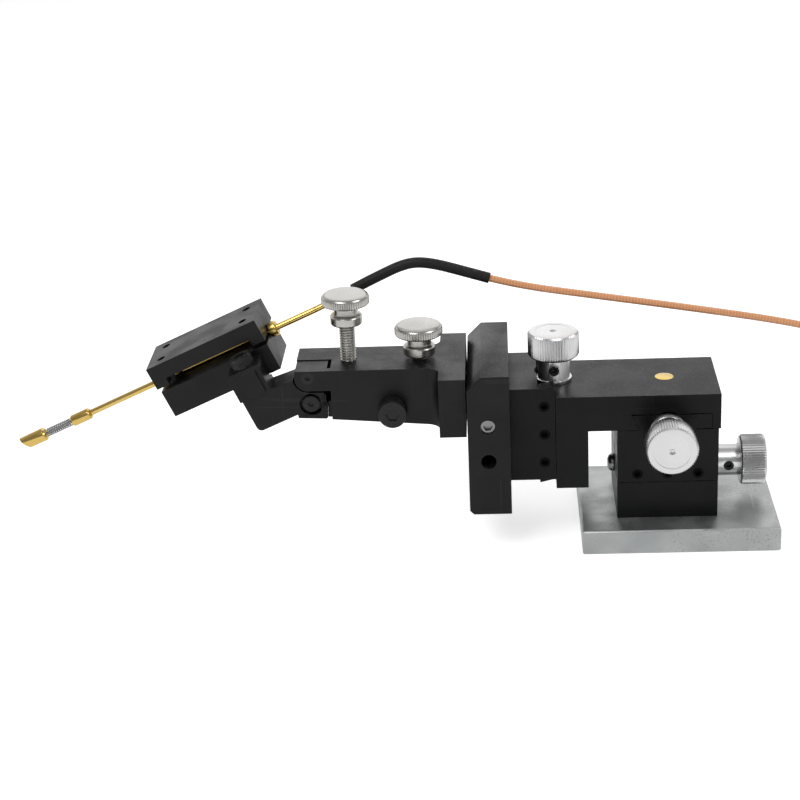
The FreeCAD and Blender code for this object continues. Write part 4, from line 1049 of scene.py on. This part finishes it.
@dataclass
class Machined:
    """The milled blocks and plates, with broken edges and mill or blast marks."""

    edge_widths: dict[str, float] = field(default_factory=lambda: {
        "base_plate": 0.25,
        "base_block": 0.18,
        "middle_block": 0.18,
        "bridge_block": 0.22,
        "upright_block": 0.18,
        "mounting_plate": 0.3,
        "arm_block": 0.25,
        "nose_bracket": 0.22,
        "lower_clamp_plate": 0.2,
        "upper_clamp_plate": 0.2,
        **{f"{axis}_gib": 0.08 for axis in "xyz"},
    })
    smooth: float = 18.0
    plate_corner: float = 3.55
    extra_edge: float = 0.05
    tongue_front: float = -8.1
    cheek_front: float = -5.98
    tongue_back: float = -0.2
    lap: float = -7.05
    lap_gap: float = 0.1
    heel: Outline = (
        (-3.0, -9.8), (-2.8, -10.7), (4.2, -11.0), (4.6, -10.6), (4.6, -7.0), (4.25, -6.4), (4.3, -4.55),
        (3.4, -4.55), (3.4, -6.5), (3.2, -8.3), (2.4, -9.4), (1.5, -9.9), (-1.0, -9.95),
    )
    heel_core: Outline = (
        (-3.0, -9.8), (-2.8, -10.7), (3.2, -10.95), (3.6, -10.5), (3.75, -4.55),
        (3.4, -4.55), (3.4, -6.5), (3.2, -8.3), (2.4, -9.4), (1.5, -9.9), (-1.0, -9.95),
    )
    crown: Outline = (
        (-3.2, -0.3), (-3.2, 1.57), (4.7, 1.57), (4.45, -4.3), (3.3, -4.3), (3.3, -0.9), (0.9, 1.45),
    )
    slot_wall: Outline = ((4.6, -6.7), (4.6, -10.95), (6.35, -11.05), (6.35, -6.7))

    def _corner_cut(self, shape: Shape) -> None:
        """Cut the mounting plate's top corner off flat, just inside the node's round.

        Args:
            shape: the plate's copy.
        """
        low, high = (Vector(corner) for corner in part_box("mounting_plate"))
        bmesh.ops.bisect_plane(
            shape, geom=everything(shape), plane_co=(low.x + self.plate_corner * MM, 0, high.z),
            plane_no=(-1, 0, 1), clear_outer=True,
        )
        close_holes(shape)

    def _extras(self, node: str) -> list[Shape]:
        """Build what a block's copy gains.

        Args:
            node: the block's CAD node.

        Returns:
            The nose's heel and crown, the arm's wall behind the heel, or nothing.
        """
        if node == "nose_bracket":
            shapes = [
                prism(self.heel, self.tongue_front, self.lap, NOSE_PIVOT),
                prism(self.heel_core, self.lap, self.tongue_back, NOSE_PIVOT),
                prism(self.crown, self.cheek_front, self.tongue_back, NOSE_PIVOT),
            ]
        elif node == "arm_block":
            shapes = [prism(self.slot_wall, self.lap + self.lap_gap, self.tongue_back, NOSE_PIVOT)]
        else:
            return []
        for shape in shapes:
            break_edges(shape, self.extra_edge * MM)
        return shapes

    def build(self, finish_of: FinishOf) -> None:
        """Make a dressed copy of each block.

        Args:
            finish_of: gives a node's material.
        """
        for node, width in self.edge_widths.items():
            shape = node_copy(node)
            if node == "mounting_plate":
                self._corner_cut(shape)
            break_edges(shape, width * MM)
            take_in(shape, *self._extras(node))
            dress(node, to_mesh(node, shape), finish_of(node), self.smooth)


@dataclass
class Fasteners:
    """Screws, pins, gib screws and the needle's turned pieces, smoothed and lightly chamfered."""

    plain: Sequence[str] = (
        "base_screws",
        *(f"{axis}_gib_screws" for axis in "xyz"),
        *(f"{axis}_nut_pin" for axis in "xyz"),
        *(f"{axis}_knob_set_screw" for axis in "xyz"),
        *(f"{axis}_retainer" for axis in "xyz"),
        "plate_screws", "arm_lock_screw", "tilt_pivot_screw", "tilt_lock_screw", "clamp_screws",
        "needle_tube", "needle_ring", "needle_core", "stop_collar", "needle_tip", "plug_body", "plug_nut",
    )
    sharp: float = 40.0
    edge: float = 0.06
    smooth: float = 40.0
    feed_feet: dict[str, float] = field(default_factory=lambda: {"x": -25.05, "y": -25.05, "z": -24.55})
    feed_top: float = 11.5
    feed_radius: float = 1.5
    feed_pitch: float = 0.5
    feed_depth: float = 0.28
    feed_smooth: float = 20.0
    side_at: Point = (-67.9, -8.1, 35.8)
    side_radius: float = 3.5
    side_height: float = 4.0
    head_at: Point = (-13.4, -5.275, 8.9)
    head_radius: float = 2.75
    head_height: float = 3.0
    head_edge: float = 0.12
    head_smooth: float = 22.0
    band_proud: float = 0.09
    band_seat: float = 0.4
    band_foot: float = 0.35
    band_gap: float = 0.5
    band_bevel: float = 0.1
    band_tooth: float = 0.13
    band_teeth: int = 56

    def build(self, finish_of: FinishOf, stub: Mesh) -> list[Piece]:
        """Make every fastener.

        Args:
            finish_of: gives a node's material.
            stub: the bent end of the needle's tube.

        Returns:
            The pieces of the plug.
        """
        plug = []
        for node in self.plain:
            shape = node_copy(node)
            break_edges(shape, self.edge * MM, self.sharp)
            if node == "needle_tube":
                shape.from_mesh(stub)
            piece = dress(node, to_mesh(node, shape), finish_of(node), self.smooth)
            if node.startswith("plug"):
                plug.append(piece)
        for axis, (at, way) in FEED_LINES.items():
            node = f"{axis}_feed_screw"
            low, high = self.feed_feet[axis], self.feed_top
            thread = threaded_rod(self.feed_radius, low, high, self.feed_pitch, self.feed_depth)
            mesh = joined(node, [thread], axis_place(at, way))
            dress(node, mesh, finish_of(node), self.feed_smooth, "threaded")
        side = axis_place(self.side_at, (0, -1, 0))
        self._cap_screw("side_cap_screw", self._band(self.side_radius, self.side_height), side, finish_of)
        nose = axis_place(NOSE_PIVOT, (0, 0, 1)) @ Matrix.Rotation(math.radians(-NOSE_ANGLE), 4, "Y")
        lug = nose @ axis_place(self.head_at, (0, 0, 1))
        self._cap_screw("head_cap_screw", self._band(self.head_radius, self.head_height), lug, finish_of)
        return plug

    def _band(self, radius: float, height: float) -> Shape:
        """Build the toothed band that stands round a cap screw's head.

        Args:
            radius: the head's radius in millimetres.
            height: the head's height.

        Returns:
            The closed band, round its own Z axis, in metres.
        """
        outer, inner, tooth = radius + self.band_proud, radius - self.band_seat, self.band_tooth
        low, high, bevel = self.band_foot, height - self.band_gap, self.band_bevel
        return ring_stack((
            (inner, low, 0.0), (outer - tooth, low, 0.0), (outer, low + bevel, tooth),
            (outer, high - bevel, tooth), (outer - tooth, high, 0.0), (inner, high, 0.0),
        ), 2 * self.band_teeth)

    def _cap_screw(self, node: str, band: Shape, place: Matrix, finish_of: FinishOf) -> None:
        """Dress a cap screw and put a knurled band round its head.

        Args:
            node: the CAD node.
            band: the band, round its own Z axis.
            place: the head's foot and direction.
            finish_of: gives a node's material.
        """
        shape = node_copy(node)
        break_edges(shape, self.head_edge * MM, self.sharp)
        bmesh.ops.transform(band, matrix=place, verts=band.verts)
        take_in(shape, band)
        dress(node, to_mesh(node, shape), finish_of(node), self.head_smooth)


@dataclass
class Knobs:
    """The three feed knobs: plain collar with its set screw hole, and a straight-knurled rim."""

    rim_foot: float = 6.6
    overlap: float = 0.02
    rim: Rings = (
        (3.0, 6.3, 0.0), (3.0, 6.6, 0.0), (5.8, 6.6, 0.0), (5.9, 6.63, 0.0), (6.3, 7.025, 0.7),
        (6.4, 7.2, 1.0), (6.4, 12.4, 1.0), (6.3, 12.575, 0.7), (5.9, 12.97, 0.0), (5.78, 13.0, 0.0),
        (4.6, 13.0, 0.0), (4.5, 12.95, 0.0), (0.9, 12.95, 0.0), (0.3, 12.6, 0.0),
    )
    tooth: float = 0.36
    teeth: int = 60
    sharp: float = 40.0
    edge: float = 0.1
    smooth: float = 24.0

    def build(self, finish_of: FinishOf) -> None:
        """Make each knob from its CAD collar and a new rim.

        Args:
            finish_of: gives a node's material.
        """
        for axis, (at, way) in FEED_LINES.items():
            node = f"{axis}_knob"
            place = axis_place(at, way)
            collar = node_copy(node)
            bmesh.ops.transform(collar, matrix=place.inverted(), verts=collar.verts)
            cut = bmesh.ops.bisect_plane(
                collar, geom=everything(collar), plane_co=(0, 0, (self.rim_foot - self.overlap) * MM),
                plane_no=(0, 0, 1), clear_outer=True,
            )
            cut_edges = only(bmesh.types.BMEdge, cut["geom_cut"])
            bmesh.ops.holes_fill(collar, edges=cut_edges, sides=0)
            break_edges(collar, self.edge * MM, self.sharp)
            rim = toothed(self.rim, self.tooth, self.teeth)
            dress(node, joined(node, [collar, rim], place), finish_of(node), self.smooth, "knurled")


@dataclass
class ThumbScrews:
    """The two high thumb screws: knurled rim, undercut, collar and threaded shank."""

    places: dict[str, tuple[Point, float]] = field(default_factory=lambda: {
        "front_thumb_screw": ((-79.0, 0.0, 55.9), 20.0),
        "back_thumb_screw": ((-61.1, 0.0, 47.35), 12.85),
    })
    head: Rings = (
        (1.4, -0.25, 0.0), (3.5, 0.0, 0.0), (3.85, 0.12, 0.0), (4.0, 0.4, 0.0), (4.0, 2.1, 0.0),
        (3.85, 2.4, 0.0), (3.5, 2.55, 0.0), (3.1, 2.75, 0.0), (3.0, 3.2, 0.0), (3.0, 4.9, 0.0),
        (3.3, 5.15, 0.0), (5.5, 5.2, 0.0), (5.8, 5.35, 0.6), (6.0, 5.6, 1.0), (6.0, 7.0, 1.0),
        (5.85, 7.3, 0.5), (5.6, 7.6, 0.0), (5.3, 7.82, 0.0), (4.9, 7.95, 0.0), (4.4, 8.0, 0.0),
    )
    tooth: float = 0.26
    teeth: int = 60
    shank_radius: float = 2.0
    pitch: float = 0.7
    depth: float = 0.36
    smooth: float = 24.0

    def build(self, finish_of: FinishOf) -> None:
        """Make both screws.

        Args:
            finish_of: gives a node's material.
        """
        for node, (at, shank) in self.places.items():
            head = toothed(self.head, self.tooth, self.teeth)
            thread = threaded_rod(self.shank_radius, -shank, 0.0, self.pitch, self.depth)
            mesh = joined(node, [head, thread], axis_place(at, (0, 0, 1)))
            dress(node, mesh, finish_of(node), self.smooth, "knurled")


@dataclass
class Spring:
    """The wire spring behind the sprung tip."""

    start: float = 64.65
    length: float = 7.8
    turns: int = 13
    radius: float = 0.95
    wire: float = 0.16
    wire_sides: int = 10
    turn_steps: int = 24
    clearance: float = 0.02
    stroke: float = 3.0
    pivot: Point = (-88.8, 6.4, 44.6)
    rise: float = 11.1
    smooth: float = 60.0

    def build(self, finish: Material) -> None:
        """Wind the wire and hang it on the nose's body.

        Args:
            finish: the wire's material.
        """
        angle = math.radians(NOSE_ANGLE)
        way = Vector((-math.cos(angle), 0, -math.sin(angle)))
        lift = Vector((-math.sin(angle), 0, math.cos(angle)))
        foot = Vector(self.pivot) + way * self.start + lift * self.rise
        shape = bmesh.new()
        ring = bmesh.ops.create_circle(shape, segments=self.wire_sides, radius=self.wire * MM)["verts"]
        bmesh.ops.rotate(shape, verts=ring, cent=(0, 0, 0), matrix=Matrix.Rotation(math.pi / 2, 3, "X"))
        first = (self.radius * MM, 0, (self.wire + self.clearance) * MM)
        bmesh.ops.translate(shape, verts=ring, vec=first)
        steps = self.turn_steps * self.turns
        climb = (self.length - 2 * (self.wire + self.clearance)) * MM
        bmesh.ops.spin(
            shape, geom=everything(shape), cent=(0, 0, 0), axis=(0, 0, 1), dvec=(0, 0, climb / steps),
            angle=2 * math.pi * self.turns, steps=steps, use_merge=False,
        )
        close_holes(shape)
        bmesh.ops.recalc_face_normals(shape, faces=shape.faces)
        mesh = joined("tip_spring", [shape], axis_place(tuple(foot), tuple(way)))
        spring = finished_object("tip_spring_wound", mesh, finish, self.smooth)
        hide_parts("tip_spring")
        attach(spring, "nose")
        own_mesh(spring)


def knob_finish(axis: str) -> MetalFinish:
    """Describe the satin aluminium of a feed knob, turned about its own axis.

    Args:
        axis: the letter of the knob's axis.

    Returns:
        The finish.
    """
    return MetalFinish(
        f"knob_{axis}", (0.66, 0.66, 0.665), (0.78, 0.78, 0.78), grain_scale=5000.0, grain_depth=0.2,
        tooling=Tooling(axis.upper()), tool_depth=0.03, centre=FEED_LINES[axis][0],
        wear=0.6, hairlines=0.15, dust=0.04,
    )


def thumb_finish(side: str, centre: Point) -> MetalFinish:
    """Describe the nickel plate of a thumb screw, turned about its own axis.

    Args:
        side: the front or the back screw.
        centre: a point on the screw's axis, in millimetres.

    Returns:
        The finish.
    """
    return MetalFinish(
        f"thumb_{side}", (0.44, 0.43, 0.405), (0.62, 0.6, 0.57), gloss=(0.24, 0.32), grain_scale=5000.0,
        tooling=Tooling.TURNED_Z, tool_depth=0.03, centre=centre,
        wear=0.6, hairlines=0.3, dust=0.05, mottle=0.2,
    )


@dataclass
class Finishes:
    """Every finish on the positioner, and which node wears which."""

    effects: Effects = field(default_factory=Effects)
    made: dict[str, Material] = field(default_factory=dict)
    metals: Sequence[MetalFinish] = (
        MetalFinish(
            "zinc_plate", (0.38, 0.395, 0.395), (0.56, 0.57, 0.56), metallic=0.9, gloss=(0.34, 0.5),
            grain_scale=2500.0, grain_depth=0.5, tooling=Tooling.MILLED, tool_depth=0.5,
            wear=0.4, hairlines=0.5, dust=0.08, mottle=0.5, stains=0.45,
        ),
        MetalFinish(
            "black_block", (0.005, 0.005, 0.0055), (0.07, 0.07, 0.07), metallic=0.0, gloss=(0.28, 0.38),
            grain_scale=5000.0, grain_depth=0.35, tooling=Tooling.MILLED, tool_depth=0.15,
            wear=0.35, dust=0.07, mottle=0.03, specular=0.15,
        ),
        MetalFinish(
            "black_anodised", (0.0055, 0.0055, 0.006), (0.08, 0.08, 0.08), metallic=0.0,
            gloss=(0.32, 0.44), grain_scale=4200.0, grain_depth=0.5,
            wear=0.35, dust=0.1, mottle=0.04, specular=0.22,
        ),
        *(knob_finish(axis) for axis in "xyz"),
        thumb_finish("front", (-79.0, 0.0, 55.9)),
        thumb_finish("back", (-61.1, 0.0, 46.5)),
        MetalFinish(
            "bright_steel", (0.6, 0.6, 0.6), (0.8, 0.8, 0.8), gloss=(0.2, 0.3), hairlines=0.2,
        ),
        MetalFinish(
            "oxide_black", (0.007, 0.007, 0.0075), (0.1, 0.095, 0.09), metallic=0.0, gloss=(0.24, 0.34),
            grain_depth=0.3, wear=0.5, wear_radius=0.00015, dust=0.05, mottle=0.05, specular=0.28,
        ),
        # painted shade: near-black, dull colour on the flush gib screws stands for the shade inside their
        # tapped recesses
        MetalFinish(
            "painted_recess_shade", (0.002, 0.002, 0.002), (0.02, 0.02, 0.02), metallic=0.0, gloss=(0.45, 0.55),
            grain_depth=0.2, wear_radius=0.0001, hairlines=0.05, dust=0.02, mottle=0.02, specular=0.08,
        ),
        MetalFinish(
            "dull_steel", (0.24, 0.24, 0.24), (0.5, 0.5, 0.5), gloss=(0.26, 0.36),
            hairlines=0.2, mottle=0.2,
        ),
        MetalFinish(
            "bright_brass", (0.64, 0.44, 0.12), (0.82, 0.64, 0.3), gloss=(0.16, 0.27),
            grain_depth=0.12, hairlines=0.25, dust=0.02, mottle=0.25,
        ),
    )
    by_slot: dict[str, str] = field(default_factory=lambda: {
        "zinc_steel": "zinc_plate",
        "black_steel": "black_block",
        "black_anodised": "black_anodised",
        "bright_steel": "bright_steel",
        "oxide_steel": "oxide_black",
        "nickel_steel": "bright_steel",
        "bright_brass": "bright_brass",
    })
    by_node: dict[str, str] = field(default_factory=lambda: {
        **{f"{axis}_knob": f"knob_{axis}" for axis in "xyz"},
        **{f"{axis}_gib": "black_block" for axis in "xyz"},
        # the gib screws wear the painted recess shade, not their own colour
        **{f"{axis}_gib_screws": "painted_recess_shade" for axis in "xyz"},
        "front_thumb_screw": "thumb_front",
        "back_thumb_screw": "thumb_back",
        "arm_lock_screw": "dull_steel",
        "x_retainer": "dull_steel",
    })

    def build(self) -> None:
        """Build every material."""
        for finish in (*self.metals, SleeveFinish(), CableFinish()):
            self.made[finish.name] = finish.build(self.effects)

    def of(self, node: str) -> Material:
        """The material that a node wears."""
        return self.made[self.by_node.get(node) or self.by_slot[SLOT_OF[node]]]


def main() -> None:
    """Build the studio and every piece, in order."""
    logging.basicConfig(level=logging.INFO)
    Studio().build()
    finishes = Finishes()
    finishes.build()
    cable = Cable()
    cable.build(finishes.made["shrunk_sleeve"], finishes.made["coaxial_jacket"])
    Machined().build(finishes.of)
    plug = Fasteners().build(finishes.of, cable.stub())
    Knobs().build(finishes.of)
    ThumbScrews().build(finishes.of)
    Spring().build(finishes.made["dull_steel"])
    LOG.info("every piece is dressed")


if __name__ == "__main__":
    main()
